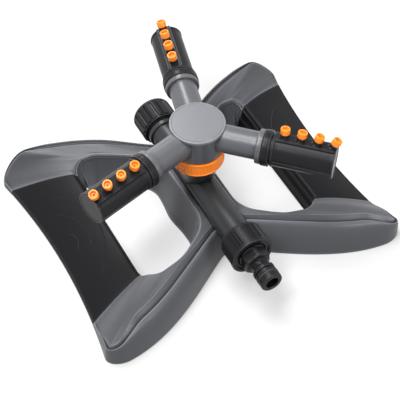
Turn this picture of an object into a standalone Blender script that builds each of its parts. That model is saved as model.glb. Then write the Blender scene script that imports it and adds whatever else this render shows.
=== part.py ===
"""Rotary lawn sprinkler with a bow-tie base and three spray arms.

The origin is on the ground under the rotor's axis. +X is one wing of the base, -Y is the hose
inlet and +Z is up. Lengths are in metres, written as millimetres times MM.
"""

import math

import bmesh
import bpy
import numpy as np
from mathutils import Matrix, Vector

MM = 0.001

# Clearances
SEAT_GAP = 0.3 * MM
RUNNING_GAP = 0.4 * MM

# How far a cutter reaches past the face it opens
CUT_OVERRUN = 6.0 * MM

# Water tube, a tee with its run along Y and its tower along Z
TUBE_AXIS_HEIGHT = 35.3 * MM
TUBE_RADIUS = 11.5 * MM
TUBE_BORE_RADIUS = 8.2 * MM
TUBE_FRONT = 63.5 * MM
TUBE_BACK = 58.0 * MM
THREAD_RADIUS = 13.1 * MM
THREAD_LENGTH = 13.5 * MM
THREAD_LEAD_IN = 0.9 * MM
COLLAR_RADIUS = 13.2 * MM
COLLAR_LENGTH = 3.6 * MM
COLLAR_TO_CAP = 1.8 * MM
TOWER_FOOT_RADIUS = 12.2 * MM
TOWER_FOOT_HEIGHT = 41.0 * MM
TOWER_FLARE_HEIGHT = 56.5 * MM
TOWER_HEAD_RADIUS = 17.0 * MM
TOWER_HEAD_HEIGHT = 60.4 * MM
TOWER_SPIGOT_RADIUS = 13.0 * MM
TOWER_SPIGOT_HEIGHT = 76.2 * MM
TOWER_BORE_RADIUS = 7.4 * MM
TOWER_SHOULDER_HEIGHT = 52.0 * MM
TOWER_LOWER_BORE_RADIUS = 8.8 * MM

# Base shell
BASE_HALF_WIDTH = 117.0 * MM
BASE_HALF_DEPTH = 102.0 * MM
BASE_SIDE_SAG = 10.0 * MM
BASE_WAIST = 50.5 * MM
BASE_WALL = 2.4 * MM
TIP_ROUNDING = 11.0 * MM
WAIST_ROUNDING = 7.0 * MM
FRONT_FACE_WAIST = 10.5 * MM
FRONT_FACE_LOBE = 7.0 * MM
BACK_FACE_WAIST = 7.5 * MM
BACK_FACE_LOBE = 5.5 * MM
CREASE_DEPTH = 1.9 * MM
CREASE_WIDTH = 3.8 * MM
SHOULDER_BELOW_AXIS = 4.3 * MM
SHOULDER_HEIGHT_WAIST = TUBE_AXIS_HEIGHT - SHOULDER_BELOW_AXIS
SHOULDER_HEIGHT_LOBE = 26.5 * MM
SIDE_LIP_HEIGHT = 4.3 * MM
SIDE_LIP_INSET = 1.3 * MM
TOP_CROWN = 1.0 * MM
RIM_ROUNDING = 1.5 * MM
PANEL_RIM_ROUNDING = 3.0 * MM
RIM_BELOW_AXIS = 1.9 * MM
RIM_HEIGHT_INNER = TUBE_AXIS_HEIGHT - RIM_BELOW_AXIS
RIM_HEIGHT_OUTER = 20.0 * MM
HOLE_INNER = 15.6 * MM
HOLE_OUTER = 75.6 * MM
HOLE_FRONT = 59.0 * MM
HOLE_FRONT_KNEE = (42.3 * MM, 55.5 * MM)
HOLE_FRONT_NECK = 38.6 * MM
HOLE_BACK = 72.0 * MM
HOLE_BACK_KNEE = (57.5 * MM, 69.6 * MM)
HOLE_BACK_NECK = 35.8 * MM
HOLE_FRONT_CORNER_ROUNDING = 22.0 * MM
HOLE_BACK_CORNER_ROUNDING = 12.0 * MM
HOLE_FRONT_KNEE_ROUNDING = 34.0 * MM
HOLE_BACK_KNEE_ROUNDING = 15.0 * MM
HOLE_NECK_ROUNDING = 24.0 * MM
HOLE_DRAFT = 0.17
CRADLE_WALL = 2.6 * MM
CRADLE_HALF_LENGTH = 39.0 * MM
CRADLE_BELOW_AXIS = 4.9 * MM
CHANNEL_OVERRUN = 9.0 * MM

# Grip panels over the outer bar of each wing
PANEL_THICKNESS = 2.0 * MM
PANEL_FRONT_INNER = 50.5 * MM
PANEL_FRONT_OUTER = 62.0 * MM
PANEL_BACK_INNER = 61.5 * MM
PANEL_BACK_OUTER = 83.0 * MM
PANEL_SKIRT = 7.0 * MM
PANEL_STEP = 0.9 * MM

# Bearing ring and thrust washer
RING_FOOT_RADIUS = 20.2 * MM
RING_HEAD_RADIUS = 19.9 * MM
RING_HEIGHT = 11.4 * MM
RING_EDGE = 0.6 * MM
THRUST_WASHER_RADIUS = 12.6 * MM
THRUST_WASHER_THICKNESS = 1.2 * MM

# Rotor hub
HUB_RADIUS = 19.2 * MM
HUB_FOOT_HEIGHT = 72.7 * MM
HUB_HEAD_HEIGHT = 95.2 * MM
HUB_RECESS_RADIUS = 14.2 * MM
CHAMBER_RADIUS = 10.5 * MM
CHAMBER_FLOOR = 80.6 * MM
STEM_RADIUS = 7.0 * MM
STEM_BORE_RADIUS = 5.0 * MM
STEM_FOOT_HEIGHT = 47.5 * MM
STEM_CHAMFER = 0.6 * MM
STEM_SEAL_HEIGHT = 63.0 * MM
CLIP_THICKNESS = 1.4 * MM
CLIP_RADIUS = 8.3 * MM
CLIP_GROOVE_RADIUS = 6.1 * MM
LID_RADIUS = 20.8 * MM
LID_THICKNESS = 2.6 * MM
LID_EDGE = 0.8 * MM
LID_PLUG_DEPTH = 2.0 * MM

# Arms and their flanges, measured out from the rotor's axis
ARM_AXIS_HEIGHT = 86.9 * MM
ARM_ANGLES = {"left": 195.3, "right": 315.3, "back": 75.3}
ARM_RADIUS = 10.6 * MM
ARM_BORE_RADIUS = 6.4 * MM
ARM_FLANGE_RADIUS = 13.0 * MM
ARM_FLANGE_THICKNESS = 4.0 * MM
ARM_SHOULDER = 50.0 * MM
ARM_SPIGOT_RADIUS = 9.0 * MM
ARM_SPIGOT_LENGTH = 11.0 * MM
ARM_ROOT = 1.5 * MM

# Seals with a round section
SEAL_RADIUS = 0.6 * MM
SEAL_FLOOR = 0.15 * MM

# Spray tubes
SPRAY_RADIUS = 12.1 * MM
SPRAY_WALL = 2.8 * MM
SPRAY_END = 103.4 * MM
SPRAY_END_WALL = 2.0 * MM
SPRAY_END_LIP_RADIUS = 12.5 * MM
SPRAY_END_LIP_LENGTH = 1.2 * MM
SPRAY_COLLAR_RADIUS = 13.6 * MM
SPRAY_COLLAR_LENGTH = 5.6 * MM
SPRAY_BEAD_RADIUS = 12.9 * MM
SPRAY_BEAD_LENGTH = 1.4 * MM
SPRAY_LEAN = 12.0
DECK_HEIGHT = 12.3 * MM
DECK_HALF_WIDTH = 5.6 * MM
LOWER_RIB_HEIGHT = 0.45 * MM
LOWER_RIB_ANGLE = 104.0

# Nozzles and the bosses that hold them
NOZZLE_COUNT = 4
NOZZLE_FIRST = 64.6 * MM
NOZZLE_PITCH = 11.8 * MM
NOZZLE_FAN = 8.0
BOSS_RADIUS = 3.2 * MM
BOSS_HEIGHT = 3.2 * MM
BOSS_HOLE_RADIUS = 1.75 * MM
BOSS_ROOT = 4.3 * MM
DRILL_DEPTH = 7.4 * MM
NOZZLE_RADIUS = 3.5 * MM
NOZZLE_HEIGHT = 4.7 * MM
NOZZLE_STEM_LENGTH = 2.4 * MM
NOZZLE_BORE_RADIUS = 0.6 * MM
NOZZLE_CUP_RADIUS = 2.0 * MM
NOZZLE_CUP_DEPTH = 1.4 * MM
NOZZLE_EDGE = 0.9 * MM

# Inlet nut, at the front end of the tube
NUT_LENGTH = 20.7 * MM
NUT_RADIUS = 16.6 * MM
NUT_SLOT_RADIUS = 15.2 * MM
NUT_BACK_RADIUS = 15.4 * MM
NUT_FLANGE_RADIUS = 17.0 * MM
NUT_FLANGE_LENGTH = 3.0 * MM
NUT_PANELS = 6
NUT_SLOT_ANGLE = 12.0
NUT_MOUTH_RADIUS = 11.6 * MM
NUT_RECESS_RADIUS = 14.2 * MM
NUT_RECESS_DEPTH = 1.2 * MM

# Inlet nipple, along its own axis from the washer to its tip
INLET_WASHER_THICKNESS = 1.8 * MM
INLET_WASHER_BORE = 6.0 * MM
WASHER_PLAY = 0.6 * MM
NIPPLE_FLANGE_RADIUS = 12.7 * MM
NIPPLE_FLANGE_LENGTH = 1.8 * MM
NIPPLE_ROOT_RADIUS = 10.8 * MM
NIPPLE_ROOT_LENGTH = 11.6 * MM
NIPPLE_NECK_RADIUS = 6.3 * MM
NIPPLE_NECK_LENGTH = 6.6 * MM
NIPPLE_COLLAR_RADIUS = 8.5 * MM
NIPPLE_COLLAR_LENGTH = 2.4 * MM
NIPPLE_GROOVE_RADIUS = 7.3 * MM
NIPPLE_GROOVE_LENGTH = 1.2 * MM
NIPPLE_BAND_LENGTH = 2.4 * MM
NIPPLE_TIP_LENGTH = 5.1 * MM
NIPPLE_TIP_CHAMFER = 0.9 * MM
NIPPLE_BORE_RADIUS = 5.0 * MM
NIPPLE_SEAL_RADIUS = 0.9 * MM

# End cap, at the back end of the tube
CAP_LENGTH = 21.0 * MM
CAP_RADIUS = 16.0 * MM
CAP_RIB_DEPTH = 0.9 * MM
CAP_RIBS = 18
CAP_SHOULDER = 3.4 * MM
CAP_MOUTH_CHAMFER = 0.6 * MM
CAP_WASHER_THICKNESS = 1.8 * MM

# Finishes: colour, roughness
FINISHES = {
    "grey_plastic": ((0.128, 0.133, 0.138, 1.0), 0.38),
    "light_grey_plastic": ((0.27, 0.275, 0.28, 1.0), 0.34),
    "dark_grey_plastic": ((0.045, 0.046, 0.048, 1.0), 0.36),
    "black_plastic": ((0.016, 0.016, 0.017, 1.0), 0.36),
    "black_grip": ((0.020, 0.020, 0.021, 1.0), 0.52),
    "orange_plastic": ((0.90, 0.17, 0.012, 1.0), 0.40),
    "white_plastic": ((0.72, 0.72, 0.70, 1.0), 0.35),
    "rubber": ((0.010, 0.010, 0.011, 1.0), 0.70),
    "steel": ((0.60, 0.60, 0.62, 1.0), 0.25),
}


# Scene and materials


def clear_scene():
    for thing in list(bpy.data.objects):
        bpy.data.objects.remove(thing, do_unlink=True)


def make_finishes():
    made = {}
    for name, (colour, roughness) in FINISHES.items():
        material = bpy.data.materials.new(name)
        material.use_nodes = True
        shader = material.node_tree.nodes["Principled BSDF"]
        shader.inputs["Base Color"].default_value = colour
        shader.inputs["Roughness"].default_value = roughness
        shader.inputs["Metallic"].default_value = 1.0 if name == "steel" else 0.0
        made[name] = material
    return made


def place_empty(name, location, turn=0.0, parent=None):
    """An empty that stands for a joint's axis, turned about Z by an angle in degrees."""
    empty = bpy.data.objects.new(name, None)
    empty.empty_display_size = 10 * MM
    empty.parent = parent
    empty.location = location
    empty.rotation_euler = (0.0, 0.0, math.radians(turn))
    bpy.context.scene.collection.objects.link(empty)
    return empty


def place_mesh(name, mesh, finish=None, parent=None, location=(0.0, 0.0, 0.0), turn=(0.0, 0.0, 0.0)):
    """An object that shows a mesh, placed under its parent and turned by angles in degrees."""
    thing = bpy.data.objects.new(name, mesh)
    if finish is not None and not mesh.materials:
        mesh.materials.append(finish)
    thing.parent = parent
    thing.location = location
    thing.rotation_euler = [math.radians(angle) for angle in turn]
    bpy.context.scene.collection.objects.link(thing)
    return thing


def make_cutter(name, mesh, parent=None, location=(0.0, 0.0, 0.0), turn=(0.0, 0.0, 0.0)):
    """A helper solid for a Boolean, left out of renders."""
    cutter = place_mesh(name, mesh, None, parent, location, turn)
    cutter.hide_render = True
    cutter.display_type = "WIRE"
    return cutter


def add_boolean(thing, operation, operand):
    modifier = thing.modifiers.new(operand.name, "BOOLEAN")
    modifier.operation = operation
    modifier.solver = "EXACT"
    modifier.object = operand


def applied_mesh(thing, name):
    """The mesh that an object shows once its modifiers have run."""
    bpy.context.view_layer.update()
    graph = bpy.context.evaluated_depsgraph_get()
    mesh = bpy.data.meshes.new_from_object(thing.evaluated_get(graph))
    mesh.name = name
    return mesh


# Shapes


def finish_mesh(name, bm, sharp_angle=32.0):
    bmesh.ops.remove_doubles(bm, verts=bm.verts[:], dist=0.001 * MM)
    bmesh.ops.recalc_face_normals(bm, faces=bm.faces[:])
    if bm.calc_volume(signed=True) < 0.0:
        bmesh.ops.reverse_faces(bm, faces=bm.faces[:])
    mesh = bpy.data.meshes.new(name)
    bm.to_mesh(mesh)
    bm.free()
    mesh.shade_smooth()
    mesh.set_sharp_from_angle(angle=math.radians(sharp_angle))
    return mesh


def bridge(bm, first, second, closed=True):
    """Quads between two rows of as many vertices."""
    count = len(first)
    for i in range(count if closed else count - 1):
        j = (i + 1) % count
        bm.faces.new((first[i], first[j], second[j], second[i]))


def loft(name, rows, hollow=False, sharp_angle=32.0):
    """A solid through closed rows of points. A hollow one joins its last row to its first."""
    bm = bmesh.new()
    made = [[bm.verts.new(point) for point in row] for row in rows]
    for first, second in zip(made, made[1:]):
        bridge(bm, first, second)
    if hollow:
        bridge(bm, made[-1], made[0])
    else:
        bm.faces.new(made[0])
        bm.faces.new(made[-1][::-1])
    return finish_mesh(name, bm, sharp_angle)


def even_angles(count):
    return np.linspace(0.0, 2.0 * math.pi, count, endpoint=False)


def ring_row(radius, angles, height):
    """Points round Z. The radius is one value, or one for each angle."""
    across = radius * np.cos(angles)
    along = radius * np.sin(angles)
    return np.stack([across, along, np.full(len(angles), height)], axis=1)


def turned(name, profile, segments, hollow=False, sharp_angle=32.0):
    """A profile of (radius, height) pairs turned round Z."""
    angles = even_angles(segments)
    return loft(name, [ring_row(r, angles, z) for r, z in profile], hollow, sharp_angle)


def bar(name, radius, start, end, segments=32):
    """A plain round bar along Z."""
    return turned(name, [(radius, start), (radius, end)], segments)


def seal_mesh(name, inner_radius, section_radius, segments=18, sides=6):
    """A rubber ring with a round section, lying round Z at height 0."""
    middle = inner_radius + section_radius
    profile = [
        (middle + section_radius * math.cos(a), section_radius * math.sin(a))
        for a in even_angles(sides)
    ]
    return turned(name, profile, segments, hollow=True, sharp_angle=60.0)


def washer_mesh(name, inner_radius, outer_radius, thickness, segments=24):
    """A flat ring that stands on height 0."""
    profile = [
        (inner_radius, 0.0),
        (outer_radius, 0.0),
        (outer_radius, thickness),
        (inner_radius, thickness),
    ]
    return turned(name, profile, segments, hollow=True)


# Plane outlines


def fillet_corner(before, corner, after, radius, steps):
    """Points of the arc that rounds one corner of a polygon."""
    to_before = (before - corner) / np.linalg.norm(before - corner)
    to_after = (after - corner) / np.linalg.norm(after - corner)
    half = math.acos(float(np.clip(to_before @ to_after, -1.0, 1.0))) / 2.0
    reach = radius / math.tan(half)
    bisector = (to_before + to_after) / np.linalg.norm(to_before + to_after)
    centre = corner + bisector * radius / math.sin(half)
    start = corner + to_before * reach - centre
    end = corner + to_after * reach - centre
    sweep = math.atan2(start[0] * end[1] - start[1] * end[0], start @ end)
    turns = np.linspace(0.0, sweep, steps)
    cos, sin = np.cos(turns), np.sin(turns)
    return centre + np.stack([start[0] * cos - start[1] * sin, start[0] * sin + start[1] * cos], axis=1)


def rounded_polygon(corners, steps=12):
    """A closed outline from (x, y, radius) corners."""
    points = [np.array(corner[:2]) for corner in corners]
    count = len(points)
    arcs = [
        fillet_corner(points[i - 1], points[i], points[(i + 1) % count], corners[i][2], steps)
        for i in range(count)
    ]
    return np.concatenate(arcs)


def bezier(start, start_pull, end_pull, end, steps=16):
    """Points along a cubic curve."""
    t = np.linspace(0.0, 1.0, steps)[:, None]
    s = 1.0 - t
    return s**3 * start + 3 * s**2 * t * start_pull + 3 * s * t**2 * end_pull + t**3 * end


def distances(points):
    steps = np.linalg.norm(np.diff(points, axis=0), axis=1)
    return np.concatenate([[0.0], np.cumsum(steps)])


def nearest(points, target):
    return int(np.argmin(np.linalg.norm(points - np.array(target), axis=1)))


def smooth_step(value, low, high):
    t = np.clip((value - low) / (high - low), 0.0, 1.0)
    return t * t * (3.0 - 2.0 * t)


# Base shell. One wing is a ring of columns round its hole, and each column is a section that
# runs from the ground inside the hole, over the rim and the top, to the ground outside.

FRONT_COLUMNS = 17
PANEL_COLUMNS = 11
BACK_COLUMNS = 15
CENTRE_COLUMNS = 7
TOP_ROWS = 5
FACE_ROWS = 5
RIM_ROWS = 4
TURN_WEIGHT = 55.0 * MM
HOLLOW_WIDTH = 2.5 * MM


def ground_outline():
    """The wing's outer edge on the ground, from the front waist round to the back waist."""
    tip_x = BASE_HALF_WIDTH + 1.0 * MM
    front_x = np.linspace(0.0, tip_x - TIP_ROUNDING * 0.8, 60)
    eased = np.sqrt(front_x**2 + WAIST_ROUNDING**2) - WAIST_ROUNDING
    share = np.sin(0.5 * math.pi * np.clip(eased / (tip_x - WAIST_ROUNDING), 0.0, 1.0))
    edge = np.stack([front_x, BASE_WAIST + (BASE_HALF_DEPTH - BASE_WAIST) * share], axis=1)
    side_y = np.linspace(BASE_HALF_DEPTH - TIP_ROUNDING, 0.0, 40)
    side = np.stack([BASE_HALF_WIDTH + BASE_SIDE_SAG * (side_y / (100 * MM)) ** 2, side_y], axis=1)
    leave = edge[-1] - edge[-2]
    arrive = side[0] - side[1]
    leave *= 0.72 * TIP_ROUNDING / np.linalg.norm(leave)
    arrive *= 0.62 * TIP_ROUNDING / np.linalg.norm(arrive)
    tip = bezier(edge[-1], edge[-1] + leave, side[0] + arrive, side[0])
    half = np.concatenate([edge, tip[1:-1], side])
    mirrored = half[::-1][1:]
    return np.concatenate([half * (1.0, -1.0), mirrored])


def hole_outline():
    """The rim of the wing's hole, from its middle beside the tube to the front and round."""
    corners = [
        (HOLE_INNER, -HOLE_FRONT_NECK, HOLE_NECK_ROUNDING),
        (HOLE_FRONT_KNEE[0], -HOLE_FRONT_KNEE[1], HOLE_FRONT_KNEE_ROUNDING),
        (HOLE_OUTER, -HOLE_FRONT, HOLE_FRONT_CORNER_ROUNDING),
        (HOLE_OUTER, HOLE_BACK, HOLE_BACK_CORNER_ROUNDING),
        (*HOLE_BACK_KNEE, HOLE_BACK_KNEE_ROUNDING),
        (HOLE_INNER, HOLE_BACK_NECK, HOLE_NECK_ROUNDING),
    ]
    middle = np.array([[HOLE_INNER, 0.0]])
    return np.concatenate([middle, rounded_polygon(corners), middle])


def rim_height(x):
    share = np.clip((x - HOLE_INNER) / (HOLE_OUTER - HOLE_INNER), 0.0, 1.0)
    return RIM_HEIGHT_INNER + (RIM_HEIGHT_OUTER - RIM_HEIGHT_INNER) * share**1.2


def with_normals(points, side):
    """Rows of (x, y, nx, ny) along a polyline, its normals on its left (1) or its right (-1)."""
    apart = np.linalg.norm(np.diff(points, axis=0), axis=1) > 0.001 * MM
    points = points[np.concatenate([[True], apart])]
    steps = np.diff(points, axis=0)
    steps /= np.linalg.norm(steps, axis=1)[:, None]
    tangents = np.concatenate([steps[:1], steps[1:] + steps[:-1], steps[-1:]])
    tangents /= np.linalg.norm(tangents, axis=1)[:, None]
    normals = side * np.stack([-tangents[:, 1], tangents[:, 0]], axis=1)
    return np.concatenate([points, normals], axis=1)


def at_distances(line, wanted):
    """Rows of a line with normals, read at distances along it."""
    travelled = distances(line[:, :2])
    read = np.stack([np.interp(wanted, travelled, line[:, k]) for k in range(4)], axis=1)
    read[:, 2:] /= np.linalg.norm(read[:, 2:], axis=1)[:, None]
    return read


class Wing:
    """The right wing's outlines, and the distances along them where its zones meet."""

    def __init__(self):
        self.rim = with_normals(hole_outline(), 1)
        self.ground = with_normals(ground_outline(), -1)
        neck = HOLE_INNER + 3.0 * MM
        self.rim_marks = [
            self.mark(self.rim, (neck, 2.0 * MM - HOLE_FRONT_NECK)),
            self.mark(self.rim, (HOLE_OUTER, -PANEL_FRONT_INNER)),
            self.mark(self.rim, (HOLE_OUTER, PANEL_BACK_INNER)),
            self.mark(self.rim, (neck, HOLE_BACK_NECK - 1.0 * MM)),
        ]
        side = BASE_HALF_WIDTH
        self.ground_marks = [
            0.0,
            self.mark(self.ground, (side, -PANEL_FRONT_OUTER)),
            self.mark(self.ground, (side, PANEL_BACK_OUTER)),
            distances(self.ground[:, :2])[-1],
        ]

    @staticmethod
    def mark(line, target):
        return distances(line[:, :2])[nearest(line[:, :2], target)]

    def rim_length(self):
        return distances(self.rim[:, :2])[-1]

    def columns(self):
        """Rim and ground rows of every column but the middle ones, and each column's share."""
        rim_at, ground_at, shares = [], [], []
        for zone, count in ((0, FRONT_COLUMNS), (2, BACK_COLUMNS)):
            across = turning_shares(self.ground, self.ground_marks, zone, count)
            rim_across = 0.5 * (turning_shares(self.rim, self.rim_marks, zone, count) + across)
            rim_at.append(between(self.rim_marks, zone, rim_across))
            ground_at.append(between(self.ground_marks, zone, across))
            shares.append(across if zone == 0 else 1.0 - across)
        rim_at.insert(1, panel_distances(self.rim_marks, PANEL_STEP))
        ground_at.insert(1, panel_distances(self.ground_marks, PANEL_STEP))
        shares.insert(1, np.ones(PANEL_COLUMNS + 2))
        rim = at_distances(self.rim, np.concatenate(rim_at))
        ground = at_distances(self.ground, np.concatenate(ground_at))
        return rim, ground, np.concatenate(shares)


def even_shares(count):
    return np.linspace(0.0, 1.0, count)


def between(marks, zone, shares):
    return marks[zone] + (marks[zone + 1] - marks[zone]) * shares


def turning_shares(line, marks, zone, count):
    """Shares of a zone's length that lie closer together where the line turns."""
    fine = even_shares(400)
    normals = at_distances(line, between(marks, zone, fine))[:, 2:]
    turns = np.linalg.norm(np.diff(normals, axis=0), axis=1)
    weight = np.diff(fine) * (marks[zone + 1] - marks[zone]) + TURN_WEIGHT * turns
    travelled = np.concatenate([[0.0], np.cumsum(weight)])
    return np.interp(even_shares(count) * travelled[-1], travelled, fine)


def panel_distances(marks, inset):
    """Distances across the panel's zone, its first and last ones set in from the zone's ends."""
    inner = between(marks, 1, even_shares(PANEL_COLUMNS + 2))[1:-1]
    return np.concatenate([[marks[1] + inset], inner, [marks[2] - inset]])


def nominal_sections(rim, ground, share):
    """Points of the whole section of each column, and each column's height at the shoulder.

    share is 0 at the waist and 1 where the grip panel begins.
    """
    height = rim_height(rim[:, 0])
    rounding = RIM_ROUNDING + (PANEL_RIM_ROUNDING - RIM_ROUNDING) * smooth_step(share, 0.8, 1.0)
    wall_heights = [np.zeros_like(height), height - PANEL_SKIRT, height - rounding]
    rows = [
        np.column_stack([rim[:, :2] + rim[:, 2:] * (HOLE_DRAFT * (height - z))[:, None], z])
        for z in wall_heights
    ]
    for angle in (math.pi / 4, math.pi / 2):
        set_back = rounding * (1.0 - math.cos(angle))
        z = height - rounding * (1.0 - math.sin(angle))
        rows.append(np.column_stack([rim[:, :2] - rim[:, 2:] * set_back[:, None], z]))
    shoulder = shoulder_height(share)
    edge = ground[:, :2] - ground[:, 2:] * face_depth(ground, share)[:, None]
    start = rows[-1]
    for t in even_shares(TOP_ROWS)[1:]:
        flat = start[:, :2] + (edge - start[:, :2]) * t
        rows.append(np.column_stack([flat, top_height(share, height, t)]))
    return rows, edge, shoulder


def top_height(share, rim, t):
    """The top's height this share of the way from the rim, at a given height, to the shoulder."""
    power = 1.0 + 0.4 * smooth_step(share, 0.6, 1.0)
    crown = TOP_CROWN * smooth_step(share, 0.0, 0.3) * (1.0 - smooth_step(share, 0.7, 1.0))
    return rim + (shoulder_height(share) - rim) * t**power + crown * math.sin(math.pi * t)


def shoulder_height(share):
    fall = SHOULDER_HEIGHT_WAIST - SHOULDER_HEIGHT_LOBE
    lobe = SHOULDER_HEIGHT_WAIST - fall * smooth_step(share, 0.3, 0.8)
    return lobe + (SIDE_LIP_HEIGHT - lobe) * smooth_step(share, 0.74, 0.97)


def face_depth(ground, share):
    """How far the shoulder lies inside the ground outline."""
    back = ground[:, 1] > 0.0
    waist = np.where(back, BACK_FACE_WAIST, FRONT_FACE_WAIST)
    lobe = np.where(back, BACK_FACE_LOBE, FRONT_FACE_LOBE)
    depth = waist + (lobe - waist) * smooth_step(share, 0.0, 0.55)
    return depth + (SIDE_LIP_INSET - depth) * smooth_step(share, 0.78, 0.97)


def face_rows(ground, edge, shoulder, share):
    """The crease below the shoulder, the ridge beside it and the bulging face down to the ground."""
    amount = 1.0 - smooth_step(share, 0.72, 0.95)
    width = CREASE_WIDTH * (0.1 + 0.9 * amount)
    depth = CREASE_DEPTH * amount
    outward = ground[:, 2:]
    groove = np.column_stack([edge + outward * (0.45 * width)[:, None], shoulder - depth])
    ridge_flat = edge + outward * width[:, None]
    ridge_height = shoulder - 0.35 * depth - 0.05 * width
    rows = [groove, np.column_stack([ridge_flat, ridge_height])]
    for angle in np.linspace(0.0, math.pi / 2, FACE_ROWS - 1)[1:]:
        flat = ridge_flat + (ground[:, :2] - ridge_flat) * math.sin(angle)
        rows.append(np.column_stack([flat, ridge_height * math.cos(angle)]))
    rows[-1][:, 2] = 0.0
    return rows


def surface_normals(grid, periodic):
    """Unit normals of a grid of points (columns, rows, 3), upward on top."""
    if periodic:
        across = np.roll(grid, -1, axis=0) - np.roll(grid, 1, axis=0)
    else:
        across = np.gradient(grid, axis=0)
    down = np.gradient(grid, axis=1)
    normals = np.cross(down, across)
    normals /= np.linalg.norm(normals, axis=2)[:, :, None]
    return normals * np.sign(normals[:, -2, 2].mean())


def sunk_edge(rows, ground, shoulder, depth):
    """Shoulder, crease and face rows of a surface that lies this deep under the side's lip."""
    fall = (shoulder - 1.09 * depth) / shoulder
    sunk = []
    for row in rows:
        offset = row[:, :2] - ground[:, :2]
        flat = ground[:, :2] - ground[:, 2:] * depth + 0.15 * offset
        sunk.append(np.column_stack([flat, row[:, 2] * fall]))
    return sunk


def base_shell_mesh(wing):
    """The right half of the shell, open where the two halves meet."""
    recess = PANEL_THICKNESS + SEAT_GAP
    rim, ground, share = wing.columns()
    sunk = np.zeros(len(share), bool)
    sunk[FRONT_COLUMNS : FRONT_COLUMNS + PANEL_COLUMNS + 2] = True
    ground[[0, -1], 2] = 0.0
    ground[[0, -1], 3] = (-1.0, 1.0)
    top, edge, shoulder = nominal_sections(rim, ground, share)
    face = face_rows(ground, edge, shoulder, share)

    # The middle columns, whose tops end on the plane between the wings
    length = wing.rim_length()
    middle_at = np.linspace(wing.rim_marks[3], length + wing.rim_marks[0], CENTRE_COLUMNS + 2)[1:-1]
    middle_rim = at_distances(wing.rim, middle_at % length)
    middle_edge = np.zeros((CENTRE_COLUMNS, 4))
    middle_edge[:, 1] = np.linspace(edge[-1, 1], edge[0, 1], CENTRE_COLUMNS + 2)[1:-1]
    middle_top, _, _ = nominal_sections(middle_rim, middle_edge, np.zeros(CENTRE_COLUMNS))
    reach = np.where(middle_edge[:, 1] > 0.0, edge[-1, 1], edge[0, 1])
    fall = RIM_HEIGHT_INNER - SHOULDER_HEIGHT_WAIST
    saddle = RIM_HEIGHT_INNER - fall * (middle_edge[:, 1] / reach) ** 2
    start = middle_top[RIM_ROWS]
    for j, t in enumerate(even_shares(TOP_ROWS)[1:], RIM_ROWS + 1):
        flat = start[:, :2] * (1.0 - t) + middle_edge[:, :2] * t
        middle_top[j] = np.column_stack([flat, start[:, 2] + (saddle - start[:, 2]) * t])

    nominal = np.concatenate([np.stack(top, axis=1), np.stack(middle_top, axis=1)])
    normals = surface_normals(nominal, periodic=True)
    on_plane = nominal[:, -1, 0] < 1e-7
    normals[on_plane, -1, 0] = 0.0
    normals[on_plane, -1] /= np.linalg.norm(normals[on_plane, -1], axis=1)[:, None]
    depth = np.concatenate([np.where(sunk, recess, 0.0), np.zeros(CENTRE_COLUMNS)])
    outer = nominal - normals * depth[:, None, None]
    outer[:, 0, :2] = nominal[:, 0, :2] - np.concatenate([rim, middle_rim])[:, 2:] * depth[:, None]
    outer[:, 0, 2] = 0.0
    outer_face = np.stack([top[-1]] + face, axis=1)
    sunk_face = np.stack(sunk_edge([top[-1]] + face, ground, shoulder, recess), axis=1)
    outer_face[sunk] = sunk_face[sunk]
    outer[: len(share), -1] = outer_face[:, 0]

    # The inside follows the outside at the wall's thickness
    inner, inner_face = inner_sections(rim, ground, share, depth[: len(share)] + BASE_WALL)
    middle_inner, _ = inner_sections(middle_rim, middle_edge, np.zeros(CENTRE_COLUMNS), BASE_WALL)
    middle_inner[-1] = np.column_stack([middle_edge[:, :2], saddle - BASE_WALL])
    middle_inner[-2] = 0.5 * (middle_inner[-3] + middle_inner[-1])
    inner = [np.concatenate(rows) for rows in zip(inner, middle_inner)]
    return wing_mesh(outer, outer_face, inner, inner_face)


def inner_sections(rim, ground, share, deep):
    """The rows that lie this deep inside each column's section: the wall and ceiling, then the face.

    Where the top is narrow, the ceiling drops until the hollow under it is wide enough.
    """
    height = rim_height(rim[:, 0])
    ceiling = height - 1.1 * deep
    lift = np.maximum(shoulder_height(share) - deep, 0.8 * MM)
    lift = np.minimum.reduce([np.roll(lift, k) for k in range(-3, 4)])
    inset = np.maximum(face_depth(ground, share) + 0.5 * deep, deep + 0.1 * MM) - deep
    across = ground[:, :2] - rim[:, :2]
    across = across / np.linalg.norm(across, axis=1)[:, None]
    deep = deep * np.ones(len(share))

    def wall_at(z):
        return rim[:, :2] + rim[:, 2:] * (HOLE_DRAFT * (height - z) - deep)[:, None]

    def face_at(share_up):
        bulge = 1.0 - np.sqrt(1.0 - share_up**2)
        return ground[:, :2] - ground[:, 2:] * (deep + inset * bulge)[:, None]

    drop = np.zeros(len(share))
    for _ in range(18):
        gap = ((face_at(1.0 - drop / lift) - wall_at(ceiling - drop)) * across).sum(axis=1)
        narrow = (gap < HOLLOW_WIDTH) & (drop < 0.7 * lift)
        drop = np.where(narrow, drop + 1.0 * MM, drop)
    start = np.column_stack([wall_at(ceiling - drop), ceiling - drop])
    end = np.column_stack([face_at(1.0 - drop / lift), lift - drop])
    middle = 0.5 * (start + end)
    middle[:, 2] = top_height(share, height, 0.5) - 1.1 * deep - drop
    low = 0.5 * (ceiling - drop)
    rows = [np.column_stack([wall_at(z), z]) for z in (np.zeros_like(low), low)]
    rows += [start, middle, end]
    face = [end]
    for angle in (0.3 * math.pi, 0.5 * math.pi):
        up = (1.0 - drop / lift) * math.cos(angle)
        face.append(np.column_stack([face_at(up), lift * up]))
    face[-1][:, 2] = 0.0
    return rows, face


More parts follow.
